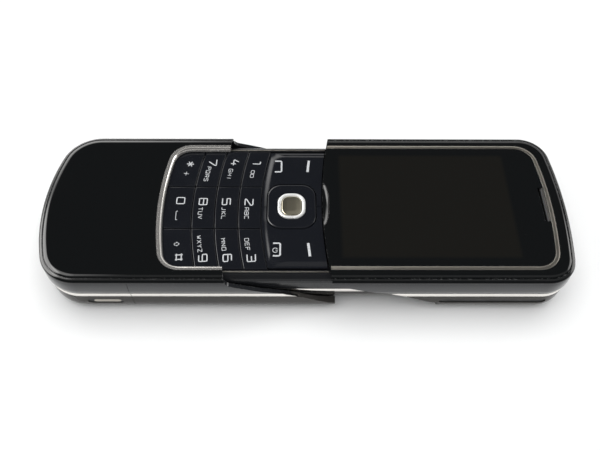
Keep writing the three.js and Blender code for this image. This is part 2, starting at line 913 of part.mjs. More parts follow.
function boardScrew(x, y) {
  const headBottom = boardHeight - seat - screwHeadHeight;
  const head = boardHeight - seat;
  const profile = [
    [0, headBottom + screwRecessDepth],
    [screwRecessRadius, headBottom + screwRecessDepth],
    [screwRecessRadius, headBottom],
    [screwHeadRadius, headBottom],
    [screwHeadRadius, head],
    [screwRadius, head],
    [screwRadius, boardHeight + screwLength - seam],
    [0, boardHeight + screwLength]
  ];
  return revolve(profile, x, y);
}

// A profile of radii and heights, turned about an upright axis
function revolve(profile, x, y) {
  const geometry = new THREE.LatheGeometry(profile.map(([radius, z]) => new THREE.Vector2(radius, z)), smallSteps);
  geometry.rotateX(Math.PI / 2);
  geometry.translate(x, y, 0);
  return solidOf(geometry);
}

function battery() {
  const y = [batteryNearMargin - half, half - batteryFarMargin];
  return prism(roundedRectangle(batterySpan, y, canHeight), hollowBottom, boardHeight - batteryGap);
}

function simReader() {
  const high = boardHeight - seat;
  const x = across(openHalf - simFromEnd, simLength);
  return block(x, across(half - simFromSide, simWidth), [high - simHeight, high]);
}

function shieldCan() {
  const low = boardTop + seat;
  const shape = roundedRectangle(across(-shieldCanX, shieldCanLength), across(0, 2 * lowerScrewY), canHeight);
  return prism(shape, low, low + canHeight);
}

function cameraRing() {
  const low = coreInset + cameraRingSink;
  const high = low + cameraRingHeight;
  const ring = cylinder(cameraX, 0, low, high, cameraRingRadius);
  return ring.subtract(cylinder(cameraX, 0, low - overrun, high + overrun, cameraWindowRadius));
}

function cameraWindow() {
  const low = coreInset + cameraRingSink + cameraRingHeight + seat;
  return cylinder(cameraX, 0, low, low + cameraWindowThickness - 2 * seat, cameraRingRadius);
}

function cameraModule() {
  const barrelLow = caseTopOfFloor - seat;
  const bodyHigh = boardHeight - seat;
  const bodyLow = bodyHigh - hollowHeight * cameraShare;
  const body = prism(
    roundedRectangle(across(cameraX, cameraBodySize), across(0, cameraBodySize), canHeight),
    bodyLow,
    bodyHigh
  );
  return body.add(cylinder(cameraX, 0, barrelLow, bodyLow + seam, cameraBarrelRadius));
}

function vibrationMotor() {
  const high = hollowBottom + hollowHeight * motorShare;
  return cylinder(openHalf - motorFromEnd, half - motorFromSide, hollowBottom, high, motorRadius);
}

function loudspeaker() {
  const x = across(openHalf - speakerFromEnd, speakerLength);
  const shape = roundedRectangle(x, across(motorFromSide - half, speakerWidth), canHeight);
  return prism(shape, hollowBottom, hollowBottom + hollowHeight * speakerShare);
}

function microphone() {
  const low = boardTop + seat;
  return cylinder(coreStart + microphoneFromEnd, microphoneY, low, low + canHeight, microphoneRadius);
}

function antennaCarrier() {
  const low = boardTop + seat;
  const shape = roundedRectangle(across(coreStart + antennaFromEnd, antennaLength), antennaSpan, canHeight);
  return prism(shape, low, low + canHeight);
}

// Keys: the arc where the keypad ends, at a distance from its middle line
function keypadEndAt(y) {
  const arcX = ringArc - keypadEnd;
  const cornerY = keyHalf - keypadCorner;
  const reach = Math.sqrt((ringArc - keypadCorner) ** 2 - cornerY ** 2);
  const tangentY = cornerY * ringArc / (ringArc - keypadCorner);
  const away = Math.abs(y);
  if (away < tangentY) {
    return arcX - Math.sqrt(ringArc ** 2 - away ** 2);
  }
  return arcX - reach - Math.sqrt(Math.max(keypadCorner ** 2 - (away - cornerY) ** 2, 0));
}

function rowLineAt(row, y) {
  return y * y / (2 * rowArc) - rowLine[row];
}

// Row 0 is next to the function panel; column -1 is the near side, 1 the far side
function keyOutline(row, column) {
  const gap = keyGap / 2;
  const inner = columnHalf + gap;
  const spans = { '-1': [-keyHalf, -inner], 0: [gap - columnHalf, columnHalf - gap], 1: [inner, keyHalf] };
  const span = spans[column];
  const last = row === rowLine.length - 1;
  const right = [];
  const left = [];
  for (let step = 0; step <= keySteps; step += 1) {
    const y = span[0] + (span[1] - span[0]) * easeShare(step / keySteps, last ? column : 0);
    right.push([rowLineAt(row, y) - gap, y]);
    left.unshift([last ? keypadEndAt(y) : rowLineAt(row + 1, y) + gap, y]);
  }
  return [...right, ...left];
}

// Gathers the steps of an end row's outer keys towards the round corner
function easeShare(share, column) {
  const spread = { '-1': share * share, 0: share, 1: share * (2 - share) };
  return spread[column];
}

function digitKey(row, column) {
  const geometry = new THREE.ExtrudeGeometry(shapeOf(keyOutline(row, column)), {
    depth: keyHeight - 2 * keyBevel,
    bevelThickness: keyBevel,
    bevelSize: keyBevel,
    bevelOffset: -keyBevel,
    bevelSegments: 1
  });
  geometry.translate(0, 0, keyBottom + keyBevel);
  return solidOf(geometry);
}

// Function panel: a pillow whose rim is round towards the keypad and the sides
function panelRing(spread, corner) {
  const side = panelHalf - spread;
  const points = [];
  for (let step = 0; step <= arcSteps; step += 1) {
    const y = side * (1 - 2 * step / arcSteps);
    const away = Math.max(Math.abs(y) - side + corner, 0);
    const pull = corner > 0 ? corner - Math.sqrt(Math.max(corner ** 2 - away ** 2, 0)) : 0;
    points.push([rowLineAt(0, y) + keyGap / 2 + spread + pull, y]);
  }
  for (let step = 0; step <= arcSteps; step += 1) {
    const y = side * (2 * step / arcSteps - 1);
    points.push([edgeApex - slideGap + y * y / (2 * edgeArc), y]);
  }
  return points;
}

function functionPanel() {
  const rings = [{ z: keyBottom, points: panelRing(0, keyBevel) }];
  for (const [inShare, upShare] of rimStepShares) {
    const corner = keyBevel + (panelCorner - keyBevel) * inShare;
    rings.push({ z: keyTop + panelRise * upShare, points: panelRing(panelRim * inShare, corner) });
  }
  return loft(rings);
}

function navigationShape(length, breadth, corner) {
  return roundedRectangle(across(-navigationX, length), across(0, breadth), corner);
}

function functionKey(direction) {
  const hole = navigationShape(
    navigationLength + 2 * rockGap,
    navigationWidth + 2 * rockGap,
    navigationCorner + rockGap
  );
  const gap = keyGap / 2;
  const y = direction > 0 ? [gap, width] : [-width, -gap];
  const side = block([-closedLength, closedLength], y, [0, thickness + overrun]);
  return functionPanel().subtract(prism(hole, 0, thickness + overrun)).intersect(side);
}

function bevelled(shape, low, high, bevel) {
  const geometry = new THREE.ExtrudeGeometry(shape, {
    depth: high - low - 2 * bevel,
    bevelThickness: bevel,
    bevelSize: bevel,
    bevelOffset: -bevel,
    bevelSegments: 2,
    curveSegments: plateSteps
  });
  geometry.translate(0, 0, low + bevel);
  return solidOf(geometry);
}

function selectShape(spread) {
  return navigationShape(selectLength + 2 * spread, selectWidth + 2 * spread, selectCorner + spread);
}

function navigationKey() {
  const top = keyTop + navigationRise;
  const shape = navigationShape(navigationLength, navigationWidth, navigationCorner);
  const ringSpread = selectGap + selectRingWidth + seam;
  const pocket = navigationShape(
    navigationLength - 2 * gimbalWidth,
    navigationWidth - 2 * gimbalWidth,
    navigationCorner - gimbalWidth / 2
  );
  return bevelled(shape, keyBottom, top, navigationEdge)
    .subtract(prism(selectShape(selectGap), 0, thickness + overrun))
    .subtract(prism(selectShape(ringSpread), top + selectRingProud - selectRingHeight - seat, thickness + overrun))
    .subtract(prism(pocket, 0, keyBottom + gimbalGap + seam));
}

function selectRing() {
  const high = keyTop + navigationRise + selectRingProud;
  const low = high - selectRingHeight;
  const outer = bevelled(selectShape(selectGap + selectRingWidth), low, high, selectRingProud);
  return outer.subtract(prism(selectShape(selectGap), low - overrun, high + overrun));
}

function selectKey() {
  const top = keyTop + selectRise;
  const dish = new THREE.SphereGeometry(1, 2 * smallSteps, smallSteps / 2);
  dish.scale(selectLength / 2, selectWidth / 2, dishDepth);
  dish.translate(-navigationX, 0, top);
  return bevelled(selectShape(0), keyBottom + keyTravel, top, keyBevel).subtract(solidOf(dish));
}

function navigationPivot() {
  const outer = navigationShape(
    navigationLength - 2 * gimbalWidth - 2 * rockGap,
    navigationWidth - 2 * gimbalWidth - 2 * rockGap,
    navigationCorner - gimbalWidth / 2
  );
  const high = keyBottom + seam;
  const inner = selectShape(selectGap + rockGap);
  return prism(outer, high - gimbalHeight, high).subtract(prism(inner, 0, thickness));
}

// Assembly
const phone = new THREE.Group();
const core = new THREE.Group();
const sleeve = new THREE.Group();
phone.add(core, sleeve);

function place(group, name, solid, material) {
  const mesh = new THREE.Mesh(geometryOf(solid), material());
  mesh.name = name;
  group.add(mesh);
}

place(core, 'core_frame', coreFrame(), materials.core);
place(core, 'core_case', coreCase(), materials.core);
place(core, 'core_stripe_left', coreStripe(leftHalf), materials.chrome);
place(core, 'core_stripe_right', coreStripe(rightHalf), materials.chrome);
place(core, 'keypad_trim_left', keypadTrim(1), materials.champagne);
place(core, 'keypad_trim_right', keypadTrim(-1), materials.champagne);
place(core, 'keypad_mat', keypadMat(), materials.rubber);
place(core, 'key_board', keyBoard(), materials.board);
place(core, 'main_board', mainBoard(), materials.board);
place(core, 'shield_can', shieldCan(), materials.steel);
place(core, 'battery', battery(), materials.battery);
place(core, 'sim_reader', simReader(), materials.steel);
place(core, 'camera_module', cameraModule(), materials.plastic);
place(core, 'camera_ring', cameraRing(), materials.chrome);
place(core, 'camera_window', cameraWindow(), materials.lens);
place(core, 'vibration_motor', vibrationMotor(), materials.steel);
place(core, 'loudspeaker', loudspeaker(), materials.plastic);
place(core, 'speaker_mesh', speakerMesh(), materials.plastic);
place(core, 'earpiece_receiver', earpieceReceiver(), materials.plastic);
place(core, 'microphone', microphone(), materials.steel);
place(core, 'antenna_carrier', antennaCarrier(), materials.plastic);
for (const [name, x, y] of screwSpots()) {
  place(core, `board_screw_${name}`, boardScrew(x, y), materials.steel);
}
place(core, 'upper_shell', upperShell(), materials.gloss);
place(core, 'upper_stripe', upperStripe(), materials.chrome);
place(core, 'display_glass', displayGlass(), materials.glass);
place(core, 'display_ring', displayRing(), materials.champagne);
place(core, 'earpiece_bar', earpieceBar(), materials.chrome);
place(core, 'display_module', displayModule(), materials.screen);

const keyNames = [
  ['key_1', 'key_2', 'key_3'],
  ['key_4', 'key_5', 'key_6'],
  ['key_7', 'key_8', 'key_9'],
  ['key_star', 'key_0', 'key_hash']
];
keyNames.forEach((names, row) => {
  names.forEach((name, index) => {
    place(core, name, digitKey(row, 1 - index), materials.key);
  });
});
place(core, 'function_key_left', functionKey(1), materials.key);
place(core, 'function_key_right', functionKey(-1), materials.key);
place(core, 'navigation_pivot', navigationPivot(), materials.steel);
place(core, 'navigation_key', navigationKey(), materials.key);
place(core, 'select_ring', selectRing(), materials.chrome);
place(core, 'select_key', selectKey(), materials.champagne);

place(sleeve, 'sleeve_shell', sleeveShell(), materials.gloss);
place(sleeve, 'end_cap', endCap(), materials.gloss);
place(sleeve, 'sleeve_cover', sleeveCover(), materials.glass);
place(sleeve, 'keypad_ring', keypadRing(), materials.chrome);
place(sleeve, 'sleeve_stripe_left', sleeveStripe(leftHalf), materials.chrome);
place(sleeve, 'sleeve_stripe_right', sleeveStripe(rightHalf), materials.chrome);
place(sleeve, 'end_cap_stripe', endCapStripe(), materials.chrome);
place(sleeve, 'socket_shell', socketShell(), materials.steel);
place(sleeve, 'socket_tongue', socketTongue(), materials.plastic);
place(sleeve, 'slide_rail_left', slideRail(1), materials.steel);
place(sleeve, 'slide_rail_right', slideRail(-1), materials.steel);

export default phone;
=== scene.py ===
"""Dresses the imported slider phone: smoked glass, polished metal, glossy keys and their marks.

The phone lies open on its back. +X runs to the earpiece end, +Y to the side of the digit 1 and +Z up.
Sizes are in metres, and most are worked out from the frame's own boxes.
"""

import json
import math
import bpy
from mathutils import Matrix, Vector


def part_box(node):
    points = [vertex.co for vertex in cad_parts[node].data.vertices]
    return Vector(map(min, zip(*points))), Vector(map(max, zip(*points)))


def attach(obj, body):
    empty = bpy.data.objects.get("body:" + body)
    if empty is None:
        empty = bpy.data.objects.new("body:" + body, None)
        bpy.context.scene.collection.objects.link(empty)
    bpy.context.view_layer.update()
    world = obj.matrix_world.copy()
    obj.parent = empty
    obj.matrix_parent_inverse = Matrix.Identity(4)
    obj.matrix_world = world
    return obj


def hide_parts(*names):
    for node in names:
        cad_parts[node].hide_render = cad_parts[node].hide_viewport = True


bl_info = {
    "name": "Slider phone",
    "version": (1, 0, 0),
    "blender": (4, 5, 0),
    "location": "View3D > Sidebar > Phone",
    "description": "Builds the glass, metal, keys and marks of a slider phone round its packed solids",
    "category": "Object",
}

import bmesh
import bpy
from bpy.props import FloatProperty, FloatVectorProperty, PointerProperty
from bpy.types import Operator, Panel, PropertyGroup
from mathutils import Matrix, Vector

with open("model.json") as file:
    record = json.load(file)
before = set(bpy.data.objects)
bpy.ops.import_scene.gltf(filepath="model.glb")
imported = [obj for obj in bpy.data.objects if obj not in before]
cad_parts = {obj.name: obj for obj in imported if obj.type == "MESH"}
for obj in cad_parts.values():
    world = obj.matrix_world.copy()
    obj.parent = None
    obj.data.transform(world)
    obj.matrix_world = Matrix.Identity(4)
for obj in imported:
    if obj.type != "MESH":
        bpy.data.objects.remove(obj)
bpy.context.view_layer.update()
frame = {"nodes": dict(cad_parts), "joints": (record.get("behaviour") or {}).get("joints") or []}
MM = 0.001
QUARTER = math.pi / 2
SHARP = math.radians(32)
MERGE = 0.001 * MM


def length(name, description, millimetres):
    """A length property, given in millimetres and kept in metres."""
    return FloatProperty(name=name, description=description, default=millimetres * MM, unit="LENGTH", precision=5)


def colour(name, description, red, green, blue):
    """A colour property in linear light."""
    return FloatVectorProperty(
        name=name, description=description, subtype="COLOR", size=3, min=0, max=1, default=(red, green, blue)
    )


class PhoneSizes(PropertyGroup):
    """Sizes of the phone's casings, glass, rings and keys."""

    wall: length("Wall", "Thickness of the sleeve's and the upper shell's walls", 1.1)
    slide_gap: length("Slide gap", "Gap between pieces that slide past each other", 0.3)
    seam: length("Seam", "Hairline round an inlay", 0.1)
    back_radius: length("Back radius", "Radius of the hull's lower curve", 7.9)
    stripe_width: length("Stripe width", "Height of the polished stripe", 1.5)
    stripe_depth: length("Stripe depth", "How deep the stripe sits in its groove", 0.5)
    stripe_lean: length("Stripe lean", "How far the side leans in at the stripe", 0.4)
    brow_lean: length("Brow lean", "How far the side leans in under the glass", 0.45)
    bottom_arc: length("Keypad end arc", "Radius of the keypad end seen from above", 54.0)
    top_arc: length("Earpiece end arc", "Radius of the earpiece end seen from above", 115.0)
    bottom_corner: length("Keypad end corner", "Corner radius at the keypad end", 10.0)
    top_corner: length("Earpiece end corner", "Corner radius at the earpiece end", 7.5)
    glass_edge: length("Glass edge", "Width of the glass plates' polished edge", 1.15)
    cut_edge: length("Cut edge", "Rounding of the casings' sharp edges", 0.12)
    ring_width: length("Ring width", "Width of the polished ring round the keypad", 1.3)
    key_edge: length("Key edge", "Rounding of the digit keys' top edge", 0.22)
    key_gap: length("Key gap", "Gap between neighbouring digit keys", 0.2)
    row_arc: length("Row arc", "Radius of the curved rows of keys", 78.75)
    digit_height: length("Digit height", "Height of the digits on the keys", 2.0)
    digit_width: length("Digit width", "Width of the digits on the keys", 1.95)
    letter_height: length("Letter height", "Height of the small letters on the keys", 0.98)
    letter_width: length("Letter width", "Width of the small letters on the keys", 0.86)
    digit_stroke: length("Digit stroke", "Line width of the digits", 0.28)
    letter_stroke: length("Letter stroke", "Line width of the small letters", 0.155)
    ink: length("Ink", "Thickness of the printed marks", 0.02)


class PhoneColours(PropertyGroup):
    """Colours of the phone's finishes, in linear light."""

    glass: colour("Smoked glass", "Both front plates", 0.0052, 0.0058, 0.0062)
    screen: colour("Screen", "The switched-off screen under the glass", 0.009, 0.0086, 0.0075)
    gunmetal: colour("Gunmetal", "Sides of the sleeve and the upper shell", 0.0165, 0.0175, 0.0195)
    deck: colour("Deck", "The core between the rails", 0.012, 0.0125, 0.014)
    polished: colour("Polished metal", "Stripes and rings", 0.86, 0.83, 0.79)
    champagne: colour("Champagne metal", "Display ring and keypad trims", 0.5, 0.47, 0.42)
    select: colour("Select key", "The satin key in the middle", 0.56, 0.52, 0.4)
    key: colour("Key", "Digit and function keys", 0.0085, 0.0095, 0.0125)
    mark: colour("Mark", "Printed digits and letters", 0.62, 0.63, 0.64)
    floor: colour("Floor", "The pale table", 0.93, 0.93, 0.925)


class PhoneCamera(PropertyGroup):
    """Where the photograph was taken from."""

    elevation: FloatProperty(
        name="Elevation", description="Height of the view above the table", default=math.radians(55.863),
        subtype="ANGLE",
    )
    turn: FloatProperty(
        name="Turn", description="Turn of the view about the upright axis", default=math.radians(-0.612),
        subtype="ANGLE",
    )
    roll: FloatProperty(
        name="Roll", description="Roll of the camera about its own axis", default=math.radians(0.585),
        subtype="ANGLE",
    )
    distance: length("Distance", "From the camera to the point that it looks at", 166.52)
    target_x: length("Target X", "The point looked at, along the phone", -1.294)
    target_y: length("Target Y", "The point looked at, across the phone", -6.447)
    lens: FloatProperty(
        name="Lens", description="Focal length in millimetres on a 36 mm sensor", default=40.56, unit="CAMERA"
    )


def sizes():
    return bpy.context.scene.phone_sizes


def tint(name):
    return tuple(getattr(bpy.context.scene.phone_colours, name))


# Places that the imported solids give
def low(node):
    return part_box(node)[0]


def high(node):
    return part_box(node)[1]


def slide_travel():
    """How far the sleeve slides."""
    found = [joint for joint in frame["joints"] if joint["name"] == "sleeve_slide"]
    return found[0]["range_m"][1]


HALF = high("sleeve_shell").y
END = high("upper_shell").x
TRAVEL = slide_travel()
TOP = high("sleeve_cover").z
GLASS_BOTTOM = low("sleeve_cover").z
SHELL_TOP = high("sleeve_shell").z
CUT_TOP = high("sleeve_cover").x
TIP = high("sleeve_shell").x
CAP_SEAM = high("end_cap").x
KEY_TOP = high("key_5").z
KEY_BOTTOM = low("key_5").z
KEYPAD_END = -low("key_0").x
KEY_HALF = high("key_1").y
KEYPAD_CORNER = 4.6 * MM
RING_ARC = 78 * MM
RING_HALF = KEY_HALF + 0.4 * MM
RING_END = KEYPAD_END + 0.3 * MM
RING_CORNER = 5 * MM
DISPLAY_RING_HALF = HALF - 3.8 * MM
DISPLAY_RING_END = END - 4.4 * MM
DISPLAY_RING_ARC = 105 * MM
DISPLAY_RING_CORNER = 5.2 * MM
EDGE_ARC = 135 * MM
KNEE_RUN = 16.9 * MM
REACH = 3 * MM


def edge_at_side():
    """Where the display's front edge meets the side."""
    return CUT_TOP + TRAVEL + sizes().slide_gap


def edge_apex():
    """Where the display's front edge lies at the middle of the phone."""
    return edge_at_side() - HALF * HALF / (2 * EDGE_ARC)


# Drawing and solid modelling
class Pen:
    """Draws a wire on a level plane out of straight lines and arcs."""

    def __init__(self, mesh, x, y, height):
        self.mesh = mesh
        self.height = height
        self.before = set(mesh.edges)
        self.first = mesh.verts.new((x, y, height))
        self.tip = self.first

    def line(self, x, y):
        made = bmesh.ops.extrude_vert_indiv(self.mesh, verts=[self.tip])
        self.tip = made["verts"][0]
        self.tip.co = (x, y, self.height)
        return self

    def arc(self, x, y, angle, steps):
        made = bmesh.ops.spin(
            self.mesh, geom=[self.tip], cent=(x, y, self.height), axis=(0, 0, 1), angle=angle, steps=steps
        )
        self.tip = made["geom_last"][0]
        return self

    def wire(self):
        """The edges drawn so far, in the mesh's own order, so that each run gives the same solids."""
        return [edge for edge in self.mesh.edges if edge not in self.before]

    def ring(self):
        """Closes the wire with a straight line."""
        self.mesh.edges.new((self.tip, self.first))
        return self.wire()

    def weld(self):
        """Closes a wire that has come back to its start."""
        bmesh.ops.weld_verts(self.mesh, targetmap={self.tip: self.first})
        return self.wire()


def bridge(mesh, rings):
    """Skins a stack of rings or wires, each joined to the next. No two neighbours share one level."""
    for lower, upper in zip(rings, rings[1:]):
        bmesh.ops.bridge_loops(mesh, edges=lower + upper)


def close_ends(mesh, *rings):
    for ring in rings:
        bmesh.ops.edgeloop_fill(mesh, edges=ring)


def add_object(name, data):
    made = bpy.data.objects.new(name, data)
    bpy.context.scene.collection.objects.link(made)
    return made


def solid_of(mesh, name="solid"):
    """Makes a free object of a bmesh."""
    data = bpy.data.meshes.new(name)
    mesh.to_mesh(data)
    mesh.free()
    return add_object(name, data)


def outward_solid(mesh):
    """Merges doubles and turns the faces outwards before the object is made."""
    bmesh.ops.remove_doubles(mesh, verts=mesh.verts, dist=MERGE)
    bmesh.ops.recalc_face_normals(mesh, faces=mesh.faces)
    return solid_of(mesh)


def copy_of(solid):
    return add_object(solid.name, solid.data.copy())


def discard(*solids):
    for solid in solids:
        bpy.data.objects.remove(solid)


def apply_modifiers(solid):
    bpy.context.view_layer.update()
    evaluated = solid.evaluated_get(bpy.context.evaluated_depsgraph_get())
    data = bpy.data.meshes.new_from_object(evaluated)
    solid.modifiers.clear()
    solid.data = data


def carve(solid, tool, operation="DIFFERENCE"):
    """Takes a tool out of a solid, joins it or keeps what they share."""
    modifier = solid.modifiers.new("carve", "BOOLEAN")
    modifier.operation = operation
    modifier.solver = "EXACT"
    modifier.object = tool
    apply_modifiers(solid)
    discard(tool)
    return solid


def keep_within(solid, tool):
    return carve(solid, tool, "INTERSECT")


def block(x, y, z):
    """A plain block between three pairs of limits."""
    mesh = bmesh.new()
    bmesh.ops.create_cube(mesh, size=1)
    bmesh.ops.scale(mesh, vec=(x[1] - x[0], y[1] - y[0], z[1] - z[0]), verts=mesh.verts)
    centre = ((x[0] + x[1]) / 2, (y[0] + y[1]) / 2, (z[0] + z[1]) / 2)
    bmesh.ops.translate(mesh, vec=centre, verts=mesh.verts)
    return solid_of(mesh)


def skinned(mesh, rings):
    """A solid out of a stack of rings, closed at both ends."""
    bridge(mesh, rings)
    close_ends(mesh, rings[0], rings[-1])
    return outward_solid(mesh)


def prism(draw, bottom, top):
    """Extrudes a ring, drawn by a function of a mesh and a height, from one level up to another."""
    mesh = bmesh.new()
    return skinned(mesh, [draw(mesh, bottom), draw(mesh, top)])


def loft(draw, sections):
    """Skins rings drawn at (offset, height) pairs and closes both ends."""
    mesh = bmesh.new()
    return skinned(mesh, [draw(mesh, offset, height) for offset, height in sections])


def hoop(draw, sections):
    """Skins rings drawn at (offset, height) pairs, with the last joined to the first."""
    mesh = bmesh.new()
    rings = [draw(mesh, offset, height) for offset, height in sections]
    bridge(mesh, rings + [rings[0]])
    return outward_solid(mesh)


def smooth_faces(data):
    """Shades a mesh smooth, but keeps its sharp edges."""
    mesh = bmesh.new()
    mesh.from_mesh(data)
    bmesh.ops.remove_doubles(mesh, verts=mesh.verts, dist=2 * MERGE)
    bmesh.ops.dissolve_degenerate(mesh, edges=mesh.edges, dist=2 * MERGE)
    for face in mesh.faces:
        face.smooth = True
    for edge in mesh.edges:
        edge.smooth = edge.calc_face_angle(0) < SHARP
    mesh.to_mesh(data)
    mesh.free()


def soften(solid, width, segments=2):
    """Rounds a solid's sharp edges and evens out its shading."""
    bevel = solid.modifiers.new("edges", "BEVEL")
    bevel.width = width
    bevel.segments = segments
    bevel.limit_method = "ANGLE"
    bevel.angle_limit = SHARP
    bevel.harden_normals = True
    bevel.use_clamp_overlap = True
    weigh(solid)


def weigh(solid):
    normals = solid.modifiers.new("normals", "WEIGHTED_NORMAL")
    normals.keep_sharp = True


def piece_of(solid, name, body, material, nodes=()):
    """Names a finished solid as a piece of the phone, which rides on a body."""
    solid.name = name
    solid.data.name = name
    solid.data.materials.clear()
    solid.data.materials.append(material)
    smooth_faces(solid.data)
    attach(solid, body)
    if nodes:
        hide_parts(*nodes)


def coat(material, *nodes):
    """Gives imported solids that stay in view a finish."""
    for node in nodes:
        data = frame["nodes"][node].data
        data.materials.clear()
        data.materials.append(material)


# Outlines of the phone
CORNER_STEPS = 12
ARC_STEPS = 20
LEAST_CORNER = 3.5 * MM


def corner_place(arc, corner, side):
    """How far a corner's centre lies from the centre of a shallow end arc, and across the phone."""
    across = side - corner
    return math.sqrt((arc - corner) ** 2 - across**2), across


def draw_end(pen, direction, apex, arc, corner, side):
    """Adds one rounded end to a pen that stands at the end's start, anticlockwise from above."""
    arc_x = apex - direction * arc
    reach, corner_y = corner_place(arc, corner, side)
    corner_x = arc_x + direction * reach
    tilt = math.atan2(corner_y, reach)
    pen.arc(corner_x, -direction * corner_y, QUARTER - tilt, CORNER_STEPS)
    pen.arc(arc_x, 0, 2 * tilt, ARC_STEPS)
    pen.arc(corner_x, direction * corner_y, QUARTER - tilt, CORNER_STEPS)


def end_start(direction, apex, arc, corner, side):
    """Where the straight side ends and a rounded end starts."""
    reach, _ = corner_place(arc, corner, side)
    return apex - direction * arc + direction * reach


def draw_outline(mesh, offset, height):
    """Draws the open phone's outline, drawn in by an offset."""
    size = sizes()
    side = HALF - offset
    top = (1, END - offset, size.top_arc - offset, max(size.top_corner - offset, LEAST_CORNER), side)
    bottom = (-1, offset - END, size.bottom_arc - offset, max(size.bottom_corner - offset, LEAST_CORNER), side)
    pen = Pen(mesh, end_start(*top), -side, height)
    draw_end(pen, *top)
    pen.line(end_start(*bottom), side)
    draw_end(pen, *bottom)
    return pen.ring()


def draw_keypad_ring(mesh, spread, height):
    """Draws a wire round the keypad's end, open towards the display."""
    side = RING_HALF + spread
    shape = (-1, -RING_END - spread, RING_ARC + spread, RING_CORNER + spread, side)
    pen = Pen(mesh, REACH, side, height)
    pen.line(end_start(*shape), side)
    draw_end(pen, *shape)
    pen.line(REACH, -side)
    return pen


def draw_display_ring(mesh, spread, height):
    """Draws a wire round the display's earpiece end, open towards the keypad."""
    side = DISPLAY_RING_HALF + spread
    shape = (1, DISPLAY_RING_END + spread, DISPLAY_RING_ARC + spread, DISPLAY_RING_CORNER + spread, side)
    left = edge_at_side() - 0.3 * MM
    pen = Pen(mesh, left, -side, height)
    pen.line(end_start(*shape), -side)
    draw_end(pen, *shape)
    pen.line(left, side)
    return pen


def draw_across(mesh, points, y):
    """Draws a ring of a few points in an upright plane that runs along the phone."""
    made = [mesh.verts.new((px, y, pz)) for px, pz in points]
    return [mesh.edges.new(pair) for pair in zip(made, made[1:] + made[:1])]


def across_prism(points, rounded):
    """A block whose side view is a ring of points, some of them rounded: {index: radius}."""
    mesh = bmesh.new()
    span = HALF + REACH
    rings = [draw_across(mesh, points, -span), draw_across(mesh, points, span)]
    bridge(mesh, rings)
    close_ends(mesh, *rings)
    bmesh.ops.recalc_face_normals(mesh, faces=mesh.faces)
    for index, radius in rounded.items():
        corner = Vector((points[index][0], 0, points[index][1]))
        near = [
            edge for edge in mesh.edges
            if all((Vector((vertex.co.x, 0, vertex.co.z)) - corner).length < MERGE for vertex in edge.verts)
        ]
        bmesh.ops.bevel(
            mesh, geom=near, offset=radius, segments=8, profile=0.5, affect="EDGES", material=-1,
            offset_type="OFFSET", clamp_overlap=False,
        )
    return solid_of(mesh)


def parting_zone(shift, rise):
    """Everything on the sleeve's side of the parting line, which slants down to a round tip."""
    size = sizes()
    start = CUT_TOP + shift
    tip = TIP + shift
    shoulder = 13.7 * MM
    knee = size.back_radius + 0.4 * MM
    knee_x = start + KNEE_RUN
    tip_height = size.back_radius - 3.8 * MM
    slope = (shoulder - knee) / KNEE_RUN
    left = -END - REACH
    nose = 1.5 * MM
    low_end = [(tip, -REACH)]
    if not shift:
        foot = tip - 2.2 * MM
        low_end = [(foot, -REACH), (foot, 0), (tip, tip_height - 0.5 * MM)]
    points = [
        (left, TOP + REACH),
        (left, -REACH),
        *low_end,
        (tip, tip_height + 0.35 * MM + rise),
        (tip - nose, tip_height + nose * slope + rise),
        (knee_x, knee + rise),
        (start, shoulder + rise),
        (start, TOP + REACH),
    ]
    rounded = {len(points) - 2: 1.5 * MM}
    if not shift:
        rounded[4] = 0.6 * MM
    return across_prism(points, rounded)


def edge_zone(shift):
    """Everything on the keypad's side of the display's front edge."""
    left = -END - REACH
    span = HALF + REACH
    centre = edge_apex() + shift + EDGE_ARC
    sweep = math.asin(span / EDGE_ARC)
    start = centre - EDGE_ARC * math.cos(sweep)

    def draw(mesh, height):
        pen = Pen(mesh, left, span, height)
        pen.line(left, -span)
        pen.line(start, -span)
        pen.arc(centre, 0, -2 * sweep, 32)
        return pen.ring()

    return prism(draw, -REACH, TOP + REACH)


# Casings
BACK_STEPS = 14
# How square the hull's lower curve is, where 2 would be a circle
BACK_FULLNESS = 3.3
DRAFT = 0.03 * MM


def side_sections(inset, top, groove=True):
    """Offsets and heights of the hull's side, from the back up, with the stripe's groove."""
    size = sizes()
    radius = size.back_radius - inset
    sections = []
    fullness = 2 / BACK_FULLNESS if inset < size.wall else 1
    for step in range(BACK_STEPS + 1):
        angle = QUARTER * step / BACK_STEPS
        sections.append((
            size.back_radius - radius * math.sin(angle) ** fullness + size.stripe_lean,
            size.back_radius - radius * math.cos(angle) ** fullness,
        ))
    stripe_top = size.back_radius + size.stripe_width
    lean = inset + size.stripe_lean
    if groove:
        depth = size.stripe_depth + size.seam
        sections[-1] = (lean, size.back_radius - size.seam)
        sections.append((lean + depth, size.back_radius - size.seam + DRAFT))
        sections.append((lean + depth, stripe_top + size.seam - DRAFT))
        sections.append((lean, stripe_top + size.seam))
    else:
        sections.append((lean, stripe_top))
    widest = SHELL_TOP - 3.3 * MM
    sections.append((inset + 0.06 * MM, widest - 0.7 * MM))
    sections.append((inset, widest))
    brow = top - widest
    for share, lean_share in ((0.35, 0.08), (0.6, 0.25), (0.8, 0.5), (1, 1)):
        sections.append((inset + size.brow_lean * lean_share, widest + brow * share))
    return sections


def channel():
    """The outer casing of the whole open phone, before it is parted."""
    size = sizes()
    outer = loft(draw_outline, side_sections(0, SHELL_TOP))
    inner = loft(draw_outline, side_sections(size.wall, GLASS_BOTTOM + REACH, groove=False))
    return carve(outer, inner)


def cap_zone(gap=0):
    return block((-END - REACH, CAP_SEAM + gap), (-HALF - REACH, HALF + REACH), (-REACH, TOP + REACH))


